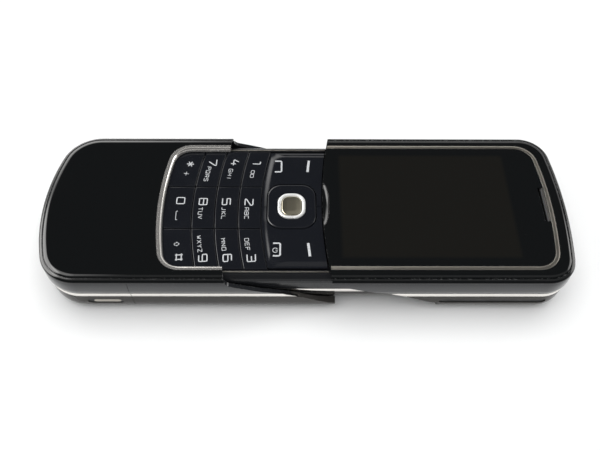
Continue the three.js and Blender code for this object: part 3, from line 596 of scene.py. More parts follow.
def slot_across(x, z, length_x, height, depths):
    """A slot with round ends in the near side wall, between two distances from the middle."""
    radius = height / 2

    def draw(mesh, level):
        pen = Pen(mesh, -length_x / 2 + radius, -radius, level)
        pen.line(length_x / 2 - radius, -radius)
        pen.arc(length_x / 2 - radius, 0, math.pi, 12)
        pen.line(radius - length_x / 2, radius)
        pen.arc(radius - length_x / 2, 0, math.pi, 12)
        return pen.weld()

    slot = prism(draw, *depths)
    slot.data.transform(Matrix.Translation((x, 0, z)) @ Matrix.Rotation(QUARTER, 4, "X"))
    return slot


def stripe_band(inset):
    """A polished band round the hull with a softly crowned face."""
    size = sizes()
    surface = inset + size.stripe_lean
    bottom = size.back_radius
    rise = size.stripe_width
    depth = size.stripe_depth
    edge = 0.16 * MM
    proud = 0.05 * MM
    sections = [
        (surface + depth, bottom + DRAFT),
        (surface + edge, bottom),
        (surface + 0.03 * MM, bottom + 0.6 * edge),
        (surface - 0.6 * proud, bottom + 2 * edge),
        (surface - proud, bottom + rise / 2),
        (surface - 0.6 * proud, bottom + rise - 2 * edge),
        (surface + 0.03 * MM, bottom + rise - 0.6 * edge),
        (surface + edge, bottom + rise),
        (surface + depth, bottom + rise - DRAFT),
    ]
    return hoop(draw_outline, sections)


def within_hull(solid, inset):
    """Trims a solid to the hull, or to a face that lies inside the hull's."""
    return keep_within(solid, loft(draw_outline, side_sections(inset, SHELL_TOP, groove=False)))


def far_half():
    return block((-END - REACH, END + REACH), (0, HALF + REACH), (-REACH, TOP + REACH))


def build_sleeve_sides():
    """The sleeve's channel with its slanted cut, and the moulded end cap behind a hairline seam."""
    side = keep_within(channel(), parting_zone(0, 0))
    cap = keep_within(copy_of(side), cap_zone())
    carve(side, cap_zone(sizes().seam))
    soften(side, sizes().cut_edge)
    piece_of(side, "sleeve_side", "sleeve", finish("gunmetal"), ["sleeve_shell"])
    build_end_cap(cap)


# Slots round the socket: their length, their height and how deep they reach from the hull's side, in millimetres
SOCKET_SLOTS = {
    "recess": (8.7, 2.3, 1.9),
    "surround": (8.6, 2.2, 1.85),
    "plate": (6.6, 1.2, 1.5),
    "opening": (6.7, 1.3, 1.55),
}


def socket_slot(name, x, z):
    length_x, height, depth = (value * MM for value in SOCKET_SLOTS[name])
    return slot_across(x, z, length_x, height, (HALF - depth, HALF + REACH))


def build_end_cap(cap):
    """The end cap with the socket's pale plate in a shallow recess, ringed by a flush black piece that is painted
    shadow.
    """
    size = sizes()
    shell_low, shell_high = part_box("socket_shell")
    centre = (shell_low + shell_high) / 2
    carrier = block(
        (centre.x - 4.4 * MM, centre.x + 4.4 * MM),
        (-HALF + size.wall * 0.9, shell_high.y),
        (centre.z - 1.9 * MM, centre.z + 1.9 * MM),
    )
    carve(cap, within_hull(carrier, 0), "UNION")
    recess_x, recess_z = centre.x - 0.45 * MM, centre.z + 1.05 * MM
    carve(cap, socket_slot("recess", recess_x, recess_z))
    # Painted shadow: a flush black ring round the pale plate stands in for the shade inside the socket's recess
    surround = socket_slot("surround", recess_x, recess_z)
    plate = socket_slot("plate", centre.x, recess_z)
    carve(within_hull(surround, 0.2 * MM), socket_slot("opening", centre.x, recess_z))
    within_hull(plate, 0.15 * MM)
    soften(plate, 0.1 * MM)
    piece_of(surround, "socket_surround", "sleeve", finish("black plastic"))
    piece_of(plate, "socket_plate", "sleeve", finish("champagne metal"))
    hole = block(
        (shell_low.x - size.seam, shell_high.x + size.seam),
        (shell_low.y - size.seam, shell_high.y + REACH),
        (shell_low.z - size.seam, shell_high.z + size.seam),
    )
    carve(cap, hole)
    soften(cap, size.cut_edge)
    piece_of(cap, "sleeve_end_cap", "sleeve", finish("gunmetal"), ["end_cap"])


def build_sleeve_stripes():
    """The polished stripe of the sleeve, in three lengths."""
    band = keep_within(stripe_band(0), parting_zone(0, 0))
    cap = keep_within(copy_of(band), cap_zone())
    piece_of(cap, "end_cap_trim", "sleeve", finish("polished metal"), ["end_cap_stripe"])
    carve(band, cap_zone(sizes().seam))
    for side, part in (("right", carve(copy_of(band), far_half())), ("left", keep_within(band, far_half()))):
        node = f"sleeve_stripe_{side}"
        piece_of(part, f"sleeve_trim_{side}", "sleeve", finish("polished metal"), [node])


def build_upper_shell():
    """The casing round the display side, with its loudspeaker slot and stripe."""
    size = sizes()
    parting = TRAVEL + size.slide_gap, 0.2 * MM
    shell = carve(channel(), parting_zone(*parting))
    slot_length = 26.2 * MM
    slot_height = 1.9 * MM
    centre_x = high("speaker_mesh").x + 0.3 * MM - slot_length / 2
    centre_z = 5.6 * MM
    slot = slot_across(centre_x, centre_z, slot_length, slot_height, (HALF - 6 * MM, HALF + REACH))
    carve(shell, slot)
    grille = slot_across(
        centre_x, centre_z, slot_length - 2 * size.seam, slot_height - 2 * size.seam,
        (HALF - size.wall * 0.9 - 0.6 * MM, HALF + REACH),
    )
    within_hull(grille, 0.28 * MM)
    piece_of(grille, "speaker_grille", "core", finish("black plastic"), nodes=["speaker_mesh"])
    soften(shell, size.cut_edge)
    piece_of(shell, "upper_side", "core", finish("gunmetal"), ["upper_shell"])
    stripe = carve(stripe_band(0), parting_zone(*parting))
    piece_of(stripe, "upper_trim", "core", finish("polished metal"), ["upper_stripe"])


def merged_copy(node):
    """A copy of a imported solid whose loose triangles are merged."""
    solid = copy_of(frame["nodes"][node])
    mesh = bmesh.new()
    mesh.from_mesh(solid.data)
    bmesh.ops.remove_doubles(mesh, verts=mesh.verts, dist=MERGE)
    mesh.to_mesh(solid.data)
    mesh.free()
    return solid


def build_core():
    """The core between the rails: its deck and case, the stripes and the keypad's trims."""
    size = sizes()
    for name, node, look, slot in (
        ("core_deck", "core_frame", "deck black", "core_black"), ("core_back", "core_case", "gunmetal", "gunmetal"),
    ):
        solid = merged_copy(node)
        soften(solid, 0.08 * MM)
        piece_of(solid, name, "core", finish(look), [node])
    for side, sign in (("left", 1), ("right", -1)):
        trim_low, trim_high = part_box(f"keypad_trim_{side}")
        outer = max(abs(trim_low.y), abs(trim_high.y))
        inner = min(abs(trim_low.y), abs(trim_high.y))
        part = outer - 0.3 * MM
        for name, start, end, rise, look in (
            ("bed", inner, part - 0.02 * MM, 0.04 * MM, "deck black"), ("line", part, outer, 0, "champagne metal"),
        ):
            bar = block(
                (trim_low.x, trim_high.x), sorted((sign * start, sign * end)), (trim_low.z, trim_high.z - rise)
            )
            soften(bar, 0.06 * MM)
            nodes = [f"keypad_trim_{side}"] if name == "line" else ()
            piece_of(bar, f"keypad_trim_{name}_{side}", "core", finish(look), nodes=nodes)
        node = f"core_stripe_{side}"
        node_low, node_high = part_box(node)
        band = stripe_band(size.wall + size.slide_gap)
        span = block((node_low.x, node_high.x), (node_low.y - 0.2 * MM, node_high.y + 0.2 * MM), (0, TOP))
        keep_within(band, span)
        piece_of(band, f"core_trim_{side}", "core", finish("polished metal"), [node])


# Front glass and rings
BROW_STEPS = 8
BROW_ANGLE = math.radians(62)
BROW_FOOT = 0.08 * MM
BROW_DROP = 0.36 * MM
GROOVE_DROP = 0.56 * MM
# Pairs of spread and drop along the glass's own bevel, in millimetres
GLASS_BEVEL = ((0.25, 0.36), (0.4, 0.25), (0.6, 0.155), (0.85, 0.075), (1.15, 0.025), (1.45, 0))
GLASS_ROUNDING = 0.1 * MM
SCOOP_RADII = (1.7 * MM, 6.6 * MM, 1 * MM)


def glass_plate():
    """A plate over the whole open phone: a round brow, a hairline groove and the glass's own soft bevel."""
    size = sizes()
    edge = size.glass_edge - GLASS_BEVEL[0][0] * MM
    offset = 0.1 * MM
    sections = [(offset, GLASS_BOTTOM)]
    rise = TOP - GLASS_BOTTOM - BROW_DROP - BROW_FOOT
    for step in range(BROW_STEPS + 1):
        angle = BROW_ANGLE * step / BROW_STEPS
        sections.append((
            offset + edge * (1 - math.cos(angle)) / (1 - math.cos(BROW_ANGLE)),
            GLASS_BOTTOM + BROW_FOOT + rise * math.sin(angle) / math.sin(BROW_ANGLE),
        ))
    sections.append((offset + edge + 0.04 * MM, TOP - GROOVE_DROP))
    sections.append((offset + edge + 0.2 * MM, TOP - GROOVE_DROP + DRAFT))
    sections += [(offset + edge + spread * MM, TOP - drop * MM) for spread, drop in GLASS_BEVEL]
    return loft(draw_outline, sections)


def swept_ring(draw_wire, section):
    """Sweeps a section of (spread, height) pairs along a wire that is open at one end."""
    mesh = bmesh.new()
    rings = [draw_wire(mesh, spread, height).wire() for spread, height in section]
    bridge(mesh, rings + [rings[0]])
    close_ends(mesh, [edge for edge in mesh.edges if edge.is_boundary])
    return outward_solid(mesh)


def build_sleeve_glass():
    """The smoked glass round the keypad's end and the polished ring in its opening."""
    size = sizes()
    half = size.ring_width / 2
    shift = CUT_TOP - edge_at_side()

    def draw_opening(mesh, height):
        return draw_keypad_ring(mesh, half + 0.05 * MM, height).ring()

    glass = keep_within(glass_plate(), edge_zone(shift))
    carve(glass, prism(draw_opening, GLASS_BOTTOM - REACH, TOP + REACH))
    soften(glass, GLASS_ROUNDING)
    piece_of(glass, "sleeve_glass", "sleeve", finish("smoked glass"), ["sleeve_cover"])
    crown = high("keypad_ring").z
    section = [
        (half, GLASS_BOTTOM),
        (half, crown - 0.01 * MM),
        (half - 0.5 * MM, crown),
        (half - 0.65 * MM, crown - 0.015 * MM),
        (half - 0.78 * MM, crown - 0.06 * MM),
        (half - 0.9 * MM, crown - 0.14 * MM),
        (0.2 * MM - half, crown - 0.38 * MM),
        (0.08 * MM - half, crown - 0.6 * MM),
        (-half, GLASS_BOTTOM),
    ]
    ring = keep_within(swept_ring(draw_keypad_ring, section), edge_zone(shift))
    piece_of(ring, "keypad_ring_polished", "sleeve", finish("ring metal"), ["keypad_ring"])


def build_display_glass():
    """The display's window with its scoop, earpiece slot and inlaid ring."""
    size = sizes()
    glass = carve(glass_plate(), edge_zone(0))
    ring_low = low("display_ring").z
    half = 0.45 * MM
    groove_half = half + size.seam
    groove = swept_ring(draw_display_ring, [
        (groove_half, ring_low - size.seam),
        (groove_half, TOP + REACH),
        (-groove_half, TOP + REACH),
        (-groove_half, ring_low - size.seam),
    ])
    carve(glass, groove)
    scoop_mesh = bmesh.new()
    bmesh.ops.create_uvsphere(scoop_mesh, u_segments=48, v_segments=24, radius=1)
    bmesh.ops.scale(scoop_mesh, vec=SCOOP_RADII, verts=scoop_mesh.verts)
    bmesh.ops.translate(scoop_mesh, vec=(edge_apex(), 0, TOP), verts=scoop_mesh.verts)
    carve(glass, solid_of(scoop_mesh))
    bar_low, bar_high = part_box("earpiece_bar")
    slot = block(
        (bar_high.x - 1.5 * MM, bar_high.x + size.seam),
        (bar_low.y - size.seam, bar_high.y + size.seam),
        (GLASS_BOTTOM - REACH, TOP + REACH),
    )
    carve(glass, slot)
    soften(glass, GLASS_ROUNDING)
    piece_of(glass, "display_window", "core", finish("display glass"), ["display_glass"])
    crown = high("display_ring").z
    ring = swept_ring(draw_display_ring, [
        (half, ring_low),
        (half, crown - 0.03 * MM),
        (half - 0.05 * MM, crown),
        (0.05 * MM - half, crown),
        (-half, crown - 0.03 * MM),
        (-half, ring_low),
    ])
    carve(ring, edge_zone(0))
    piece_of(ring, "display_ring_satin", "core", finish("champagne metal"), ["display_ring"])
    line = block(
        (bar_high.x - 0.4 * MM, bar_high.x),
        (bar_low.y, bar_high.y),
        (GLASS_BOTTOM, TOP - 0.05 * MM),
    )
    piece_of(line, "earpiece_line", "core", finish("champagne metal"))
    coat(finish("black plastic"), "earpiece_bar")
    coat(finish("screen"), "display_module")


# Keys
# Where the rows start, as shares of the keypad's length, and where the columns part, of its half width
ROW_SHARES = (0.3094, 0.47, 0.6336, 0.7939)
COLUMN_SHARE = 0.357
ROW_STEPS = 10
END_KEY_STEPS = 6
KEY_EDGE_STEPS = 4


def row_line(row, y):
    """Where a row starts, at a distance from the middle line."""
    size = sizes()
    return size.row_arc - KEYPAD_END * ROW_SHARES[row] - math.sqrt(size.row_arc**2 - y * y)


def draw_row_edge(pen, row, shift, start, end):
    """Draws along a row's curve from one distance to another; the pen stands at the start."""
    arc = sizes().row_arc
    centre = arc - KEYPAD_END * ROW_SHARES[row] + shift
    angle = math.asin(start / arc) - math.asin(end / arc)
    pen.arc(centre, 0, angle, ROW_STEPS)


def key_span(column, inset):
    gap = sizes().key_gap / 2 + inset
    inner = KEY_HALF * COLUMN_SHARE
    outer = KEY_HALF - inset
    return {1: (inner + gap, outer), 0: (gap - inner, inner - gap), -1: (-outer, -inner - gap)}[column]


def draw_key(mesh, row, column, inset, height):
    """Draws one digit key's outline, clockwise from its corner next to the display."""
    gap = sizes().key_gap / 2 + inset
    near, far = key_span(column, inset)
    start = row_line(row, far) - gap
    pen = Pen(mesh, start, far, height)
    draw_row_edge(pen, row, -gap, far, near)
    if row < len(ROW_SHARES) - 1:
        pen.line(row_line(row + 1, near) + gap, near)
        draw_row_edge(pen, row + 1, gap, near, far)
        return pen.ring()
    return draw_end_key(pen, column, inset, near, far)


def draw_end_key(pen, column, inset, near, far):
    """Finishes the outline of a key in the last row, which follows the keypad's round end."""
    arc_x = RING_ARC - KEYPAD_END
    arc = RING_ARC - inset
    reach, corner_y = corner_place(RING_ARC, KEYPAD_CORNER, KEY_HALF)
    tilt = math.atan2(corner_y, reach)
    corner_x = arc_x - reach

    def on_arc(y):
        return arc_x - math.sqrt(arc**2 - y * y)

    if column == 0:
        pen.line(on_arc(near), near)
        pen.arc(arc_x, 0, math.asin(near / arc) - math.asin(far / arc), ROW_STEPS)
        return pen.ring()
    if column == 1:
        pen.line(on_arc(near), near)
        pen.arc(arc_x, 0, math.asin(near / arc) - tilt, END_KEY_STEPS)
        pen.arc(corner_x, corner_y, tilt - QUARTER, CORNER_STEPS)
        return pen.ring()
    pen.line(corner_x, near)
    pen.arc(corner_x, -corner_y, tilt - QUARTER, CORNER_STEPS)
    pen.arc(arc_x, 0, -tilt - math.asin(far / arc), END_KEY_STEPS)
    return pen.ring()


def round_edge(bottom, top, edge):
    """Offsets and heights of an upright side with a round top edge."""
    sections = [(0, bottom)]
    for step in range(KEY_EDGE_STEPS + 1):
        angle = QUARTER * step / KEY_EDGE_STEPS
        sections.append((edge - edge * math.cos(angle), top - edge + edge * math.sin(angle)))
    return sections


KEY_ROWS = (("1", "2", "3"), ("4", "5", "6"), ("7", "8", "9"), ("star", "0", "hash"))


def build_digit_keys():
    """Twelve digit keys in four curved rows."""
    size = sizes()
    for row, names in enumerate(KEY_ROWS):
        for column, name in zip((1, 0, -1), names):
            key = loft(
                lambda mesh, inset, height: draw_key(mesh, row, column, inset, height),
                round_edge(KEY_BOTTOM, KEY_TOP, size.key_edge),
            )
            weigh(key)
            piece_of(key, f"digit_{name}", f"digit_{name}", finish("key black"), [f"key_{name}"])


# Printed marks: each is drawn with straight strokes on a grid that is 4 wide and 6 high
MARKS = {
    "0": [[(0, 0), (4, 0), (4, 6), (0, 6), (0, 0)]],
    "1": [[(0.9, 6), (2.6, 6), (2.6, 0)]],
    "2": [[(0, 6), (3.4, 6), (4, 5.2), (4, 4.4), (0, 0.8), (0, 0), (4, 0)]],
    "3": [[(0, 6), (4, 6), (4, 0), (0, 0)], [(1, 3.1), (4, 3.1)]],
    "4": [[(1.4, 6), (0, 2), (4, 2)], [(2.9, 3.8), (2.9, 0)]],
    "5": [[(4, 6), (0, 6), (0, 3.4), (4, 3.4), (4, 0), (0, 0)]],
    "6": [[(3.6, 6), (0, 6), (0, 0), (4, 0), (4, 3.4), (0, 3.4)]],
    "7": [[(0, 6), (4, 6), (4, 5.2), (1.6, 0)]],
    "8": [[(0, 0), (4, 0), (4, 6), (0, 6), (0, 0)], [(0, 3.2), (4, 3.2)]],
    "9": [[(0.4, 0), (4, 0), (4, 6), (0, 6), (0, 2.6), (4, 2.6)]],
    "star": [[(2, 0.2), (2, 5.8)], [(0.1, 1.6), (3.9, 4.4)], [(0.1, 4.4), (3.9, 1.6)]],
    "hash": [[(0.7, 0.3), (0.7, 5.7)], [(3.3, 0.3), (3.3, 5.7)], [(0, 1.2), (4, 1.2)], [(0, 4.8), (4, 4.8)]],
    "plus": [[(2, 0.4), (2, 5.6)], [(0.1, 3), (3.9, 3)]],
    "tape": [[(0, 1), (4, 1), (4, 5), (0, 5), (0, 1)]],
    "space": [[(0, 3), (0, 1), (10, 1), (10, 3)]],
    "shift": [[(1.1, 0.6), (1.1, 2.8), (0, 2.8), (2, 5.6), (4, 2.8), (2.9, 2.8), (2.9, 0.6), (1.1, 0.6)]],
    "A": [[(0, 0), (0, 6), (4, 6), (4, 0)], [(0, 2.4), (4, 2.4)]],
    "B": [[(0, 0), (4, 0), (4, 6), (0, 6), (0, 0)], [(0, 3.1), (4, 3.1)]],
    "C": [[(4, 6), (0, 6), (0, 0), (4, 0)]],
    "D": [[(0, 0), (3.2, 0), (4, 1), (4, 5), (3.2, 6), (0, 6), (0, 0)]],
    "E": [[(4, 6), (0, 6), (0, 0), (4, 0)], [(0, 3.1), (3.4, 3.1)]],
    "F": [[(4, 6), (0, 6), (0, 0)], [(0, 3.1), (3.4, 3.1)]],
    "G": [[(4, 6), (0, 6), (0, 0), (4, 0), (4, 2.9), (2.2, 2.9)]],
    "H": [[(0, 0), (0, 6)], [(4, 0), (4, 6)], [(0, 3.1), (4, 3.1)]],
    "I": [[(2, 0), (2, 6)]],
    "J": [[(3, 6), (3, 0), (0, 0)]],
    "K": [[(0, 0), (0, 6)], [(4, 6), (0.2, 3), (4, 0)]],
    "L": [[(0, 6), (0, 0), (4, 0)]],
    "M": [[(0, 0), (0, 6), (2, 3), (4, 6), (4, 0)]],
    "N": [[(0, 0), (0, 6), (4, 0), (4, 6)]],
    "O": [[(0, 0), (4, 0), (4, 6), (0, 6), (0, 0)]],
    "P": [[(0, 0), (0, 6), (4, 6), (4, 2.8), (0, 2.8)]],
    "Q": [[(0, 0), (4, 0), (4, 6), (0, 6), (0, 0)], [(2.6, 1.6), (4.4, -0.6)]],
    "R": [[(0, 0), (0, 6), (4, 6), (4, 2.8), (0, 2.8)], [(2.2, 2.8), (4, 0)]],
    "S": [[(4, 6), (0, 6), (0, 3.2), (4, 3.2), (4, 0), (0, 0)]],
    "T": [[(0, 6), (4, 6)], [(2, 6), (2, 0)]],
    "U": [[(0, 6), (0, 0), (4, 0), (4, 6)]],
    "V": [[(0, 6), (2, 0), (4, 6)]],
    "W": [[(0, 6), (1, 0), (2, 4), (3, 0), (4, 6)]],
    "X": [[(0, 0), (4, 6)], [(0, 6), (4, 0)]],
    "Y": [[(0, 6), (2, 3), (4, 6)], [(2, 3), (2, 0)]],
    "Z": [[(0, 6), (4, 6), (0, 0), (4, 0)]],
}
GRID_WIDTH = 4
GRID_HEIGHT = 6
MARK_ROUNDING = 0.14


def draw_stroke(mesh, places, closed, corner, segments):
    """Joins places with straight lines and rounds the corners between them."""
    made = [mesh.verts.new(place) for place in places]
    pairs = list(zip(made, made[1:]))
    if closed:
        pairs.append((made[-1], made[0]))
    for pair in pairs:
        mesh.edges.new(pair)
    corners = made if closed else made[1:-1]
    if corners:
        bmesh.ops.bevel(
            mesh, geom=corners, offset=corner, segments=segments, profile=0.5, affect="VERTICES", material=-1,
            offset_type="OFFSET", clamp_overlap=True,
        )


def draw_mark(mesh, name, x, y, slope, width, height):
    """Draws one mark as wires. Its foot is centred at a place, and it reads towards the near side."""
    along = Vector((-slope, -1, 0)).normalized()
    up = Vector((1, -slope, 0)).normalized()
    foot = Vector((x, y, 0))
    for stroke in MARKS[name]:
        closed = stroke[0] == stroke[-1]
        places = [
            foot + along * (u / GRID_WIDTH - 0.5) * width + up * v / GRID_HEIGHT * height
            for u, v in (stroke[:-1] if closed else stroke)
        ]
        draw_stroke(mesh, places, closed, MARK_ROUNDING * height, 3)


def ink_strokes(mesh, stroke, height):
    """Gives wires a line width and a slight crown, and lays them on a face."""
    size = sizes()
    solid = solid_of(mesh)
    bpy.ops.object.select_all(action="DESELECT")
    bpy.context.view_layer.objects.active = solid
    solid.select_set(True)
    bpy.ops.object.convert(target="CURVE")
    line = bpy.context.view_layer.objects.active
    line.data.dimensions = "3D"
    line.data.bevel_depth = stroke / 2
    line.data.bevel_resolution = 1
    line.data.use_fill_caps = True
    bpy.ops.object.convert(target="MESH")
    inked = bpy.context.view_layer.objects.active
    inked.data.transform(Matrix.Diagonal((1, 1, 2 * size.ink / stroke, 1)))
    inked.data.transform(Matrix.Translation((0, 0, height)))
    return inked


def joined(solids):
    """One object out of several, with their meshes together."""
    mesh = bmesh.new()
    for solid in solids:
        mesh.from_mesh(solid.data)
    discard(*solids)
    return solid_of(mesh)


# For each key: the marks beside its digit, and how far the digit and the marks lie from the phone's
# middle line, in millimetres
KEY_MARKS = {
    "1": (["tape", "tape"], 14.45, 10.8),
    "2": (list("ABC"), 1.6, -1.85),
    "3": (list("DEF"), -15.1, -11.2),
    "4": (list("GHI"), 14.65, 10.7),
    "5": (list("JKL"), 1.75, -1.85),
    "6": (list("MNO"), -15.1, -11.25),
    "7": (list("PQRS"), 14.65, 10.8),
    "8": (list("TUV"), 1.75, -1.85),
    "9": (list("WXYZ"), -15.1, -11.1),
    "star": (["plus"], 14.1, 10.9),
    "0": (["space"], 2.05, -1.8),
    "hash": (["shift"], -14.9, -11.2),
}
SYMBOL_SCALES = {"plus": 1.45, "shift": 1.5, "space": 1.2, "tape": 1.2}
# How far the marks' feet lie below a row's line, and how the digits turn with the curved rows
MARK_DROP = 4.15 * MM
MARK_TILT = 0.014
DIGIT_SLOPE = 0.35
STAR_NARROWING = 0.8
LETTER_PITCH = 1.5


def build_key_marks():
    """The digits and small letters on the digit keys."""
    size = sizes()
    for row, names in enumerate(KEY_ROWS):
        for name in names:
            marks, digit_at, marks_at = KEY_MARKS[name]
            digit_y = digit_at * MM
            foot = digit_y * MARK_TILT - MARK_DROP
            digit = bmesh.new()
            draw_mark(
                digit, name, row_line(row, digit_y) + foot, digit_y,
                DIGIT_SLOPE * digit_y / size.row_arc,
                size.digit_width * (STAR_NARROWING if name == "star" else 1), size.digit_height,
            )
            small = bmesh.new()
            pitch = size.letter_width * LETTER_PITCH
            for index, mark in enumerate(marks):
                y = marks_at * MM + pitch * ((len(marks) - 1) / 2 - index)
                scale = SYMBOL_SCALES.get(mark, 1)
                draw_mark(
                    small, mark, row_line(row, y) + foot, y, y / size.row_arc, size.letter_width * scale,
                    size.letter_height * scale,
                )
            printed = joined([
                ink_strokes(digit, size.digit_stroke, KEY_TOP),
                ink_strokes(small, size.letter_stroke, KEY_TOP),
            ])
            piece_of(printed, f"mark_{name}", f"digit_{name}", finish("mark ink"))


# Function panel and navigation key
PANEL_HALF = high("function_key_left").y
PANEL_FOOT = low("function_key_left").z
PANEL_TOP = high("function_key_left").z
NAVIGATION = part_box("navigation_key")
BOX_STEPS = 10


def draw_panel(mesh, spread, corner, height):
    """Draws the function panel's outline, drawn in by a spread, with round corners on the keypad's side."""
    size = sizes()
    side = PANEL_HALF - spread
    shift = size.key_gap / 2 + spread
    arc = size.row_arc
    centre = arc - KEYPAD_END * ROW_SHARES[0] + shift
    reach, corner_y = corner_place(arc, corner, side)
    tilt = math.atan2(corner_y, reach)
    corner_x = centre - reach
    front = edge_apex() - size.slide_gap + EDGE_ARC
    sweep = math.asin(side / EDGE_ARC)
    front_x = front - EDGE_ARC * math.cos(sweep)
    pen = Pen(mesh, front_x, side, height)
    pen.line(corner_x, side)
    pen.arc(corner_x, corner_y, QUARTER - tilt, 8)
    pen.arc(centre, 0, 2 * tilt, 16)
    pen.arc(corner_x, -corner_y, QUARTER - tilt, 8)
    pen.line(front_x, -side)
    pen.arc(front, 0, -2 * sweep, 12)
    return pen.weld()


def rounded_box(centre_x, length_x, width_y, corner):
    """A function that draws a rounded rectangle round the middle line, drawn in by an offset."""

    def draw(mesh, offset, height):
        radius = max(corner - offset, 0.2 * MM)
        x = length_x / 2 - offset - radius
        y = width_y / 2 - offset - radius
        pen = Pen(mesh, centre_x + x, -y - radius, height)
        pen.arc(centre_x + x, -y, QUARTER, BOX_STEPS)
        pen.line(centre_x + x + radius, y)
        pen.arc(centre_x + x, y, QUARTER, BOX_STEPS)
        pen.line(centre_x - x, y + radius)
        pen.arc(centre_x - x, y, QUARTER, BOX_STEPS)
        pen.line(centre_x - x - radius, -y)
        pen.arc(centre_x - x, -y, QUARTER, BOX_STEPS)
        return pen.ring()

    return draw


def navigation_centre():
    return (NAVIGATION[0].x + NAVIGATION[1].x) / 2


def build_function_keys():
    """The pillow-shaped function panel in two halves."""
    rim = 2.1 * MM
    corner = 5.2 * MM
    edge_corner = 0.5 * MM
    base = KEY_TOP - 0.02 * MM
    mesh = bmesh.new()
    rings = [draw_panel(mesh, 0, edge_corner, PANEL_FOOT), draw_panel(mesh, 0, edge_corner, base)]
    steps = 10
    for step in range(1, steps + 1):
        share = step / steps
        rise = (1 - math.cos(math.pi * share)) / 2
        rings.append(draw_panel(
            mesh, rim * share, edge_corner + (corner - edge_corner) * share, base + (PANEL_TOP - base) * rise
        ))
    panel = skinned(mesh, rings)
    clearance = 0.4 * MM
    hole = rounded_box(
        navigation_centre(), NAVIGATION[1].x - NAVIGATION[0].x + clearance,
        NAVIGATION[1].y - NAVIGATION[0].y + clearance, 3.8 * MM,
    )
    carve(panel, loft(hole, [(0, 0), (0, TOP + REACH)]))
    for side, limits in (("left", (0.1 * MM, HALF)), ("right", (-HALF, -0.1 * MM))):
        half = keep_within(copy_of(panel), block((-END, END), limits, (0, TOP + REACH)))
        soften(half, 0.06 * MM)
        node = f"function_key_{side}"
        piece_of(half, f"function_panel_{side}", f"function_{side}", finish("key black"), [node])
    discard(panel)


def build_function_marks():
    """Soft key dashes and call key hooks on the function panel."""
    dash_x = 0.9 * MM
    dash_stroke = 0.62 * MM
    hook_x = -8.05 * MM
    hook_stroke = 0.4 * MM
    for side, sign in (("left", 1), ("right", -1)):
        mesh = bmesh.new()
        ends = ((dash_x - 0.2 * MM, 11.05), (dash_x + 0.2 * MM, 14.85))
        mesh.edges.new([mesh.verts.new((x, sign * y * MM, 0)) for x, y in ends])
        dash = ink_strokes(mesh, dash_stroke, PANEL_TOP)
        mesh = bmesh.new()
        foot, head = hook_x + 0.2 * MM, hook_x + 1.95 * MM
        outline = [(foot, 11.1), (head, 11.1), (head, 14.7), (foot, 14.7)]
        draw_stroke(mesh, [(x, sign * y * MM, 0) for x, y in outline], False, 0.4 * MM, 4)
        hook = ink_strokes(mesh, hook_stroke, PANEL_TOP)
        parts = [dash, hook]
        if sign < 0:
            parts.append(power_mark(hook_x + 0.75 * MM, sign * 13.1 * MM))
        piece_of(joined(parts), f"function_marks_{side}", f"function_{side}", finish("mark ink"))


def power_mark(x, y):
    """A small open circle with a bar, as on a power switch."""
    mesh = bmesh.new()
    radius = 0.62 * MM
    opening = 0.6
    start = (x + radius * math.cos(opening), y + radius * math.sin(opening))
    Pen(mesh, *start, 0).arc(x, y, 2 * math.pi - 2 * opening, 16)
    Pen(mesh, x + 0.1 * MM, y, 0).line(x + radius, y)
    return ink_strokes(mesh, 0.17 * MM, PANEL_TOP)


def build_navigation():
    """The rocking navigation key, the polished ring in it and the satin select key."""
    nav_low, nav_high = NAVIGATION
    centre = navigation_centre()
    ring_low, ring_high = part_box("select_ring")
    key_low, key_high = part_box("select_key")
    outline = rounded_box(centre, nav_high.x - nav_low.x, nav_high.y - nav_low.y, 3.6 * MM)
    top = nav_high.z
    nav = loft(outline, [
        (0, nav_low.z),
        (0, top - 0.42 * MM),
        (0.05 * MM, top - 0.24 * MM),
        (0.16 * MM, top - 0.1 * MM),
        (0.32 * MM, top - 0.02 * MM),
        (0.55 * MM, top),
        (0.95 * MM, top - 0.03 * MM),
        (1.6 * MM, top - 0.12 * MM),
        (2.3 * MM, top - 0.17 * MM),
    ])
    ring_shape = rounded_box(centre, ring_high.x - ring_low.x, ring_high.y - ring_low.y, 2.9 * MM)
    carve(nav, loft(ring_shape, [(-0.08 * MM, ring_low.z - 0.05 * MM), (-0.08 * MM, TOP + REACH)]))
    shaft = rounded_box(centre, key_high.x - key_low.x, key_high.y - key_low.y, 1.9 * MM)
    carve(nav, loft(shaft, [(-0.12 * MM, 0), (-0.12 * MM, TOP + REACH)]))
    rims = 2.4 * MM
    pocket = rounded_box(centre, nav_high.x - nav_low.x - rims, nav_high.y - nav_low.y - rims, 3 * MM)
    carve(nav, loft(pocket, [(0, 0), (0, nav_low.z + 0.35 * MM)]))
    weigh(nav)
    piece_of(nav, "navigation_cap", "navigation", finish("key black"), ["navigation_key"])

    crown = ring_high.z
    ring = hoop(ring_shape, [
        (0, ring_low.z), (0, crown - 0.3 * MM), (0.09 * MM, crown - 0.12 * MM), (0.28 * MM, crown - 0.02 * MM),
        (0.42 * MM, crown), (0.58 * MM, crown - 0.03 * MM), (0.78 * MM, crown - 0.16 * MM),
        (0.9 * MM, crown - 0.36 * MM), (0.9 * MM, ring_low.z),
    ])
    # The select ring's nearly white finish is painted sheen for the reflections of a polished ring
    piece_of(ring, "select_ring_polished", "navigation", finish("pearl metal"), ["select_ring"])

    top = key_high.z
    select = loft(shaft, [
        (0, key_low.z), (0, top - 0.2 * MM), (0.05 * MM, top - 0.08 * MM), (0.18 * MM, top),
        (0.5 * MM, top - 0.02 * MM), (1 * MM, top - 0.07 * MM), (1.6 * MM, top - 0.11 * MM),
    ])
    weigh(select)
    piece_of(select, "select_cap", "select", finish("select satin"), ["select_key"])


# Finishes
COAT_ROUGHNESS = 0.04
WEAR_RADIUS = 0.15 * MM
WEAR_SCALE = 1500.0
DUST_SCALE = 2600.0
DUST_SPREAD = 0.21


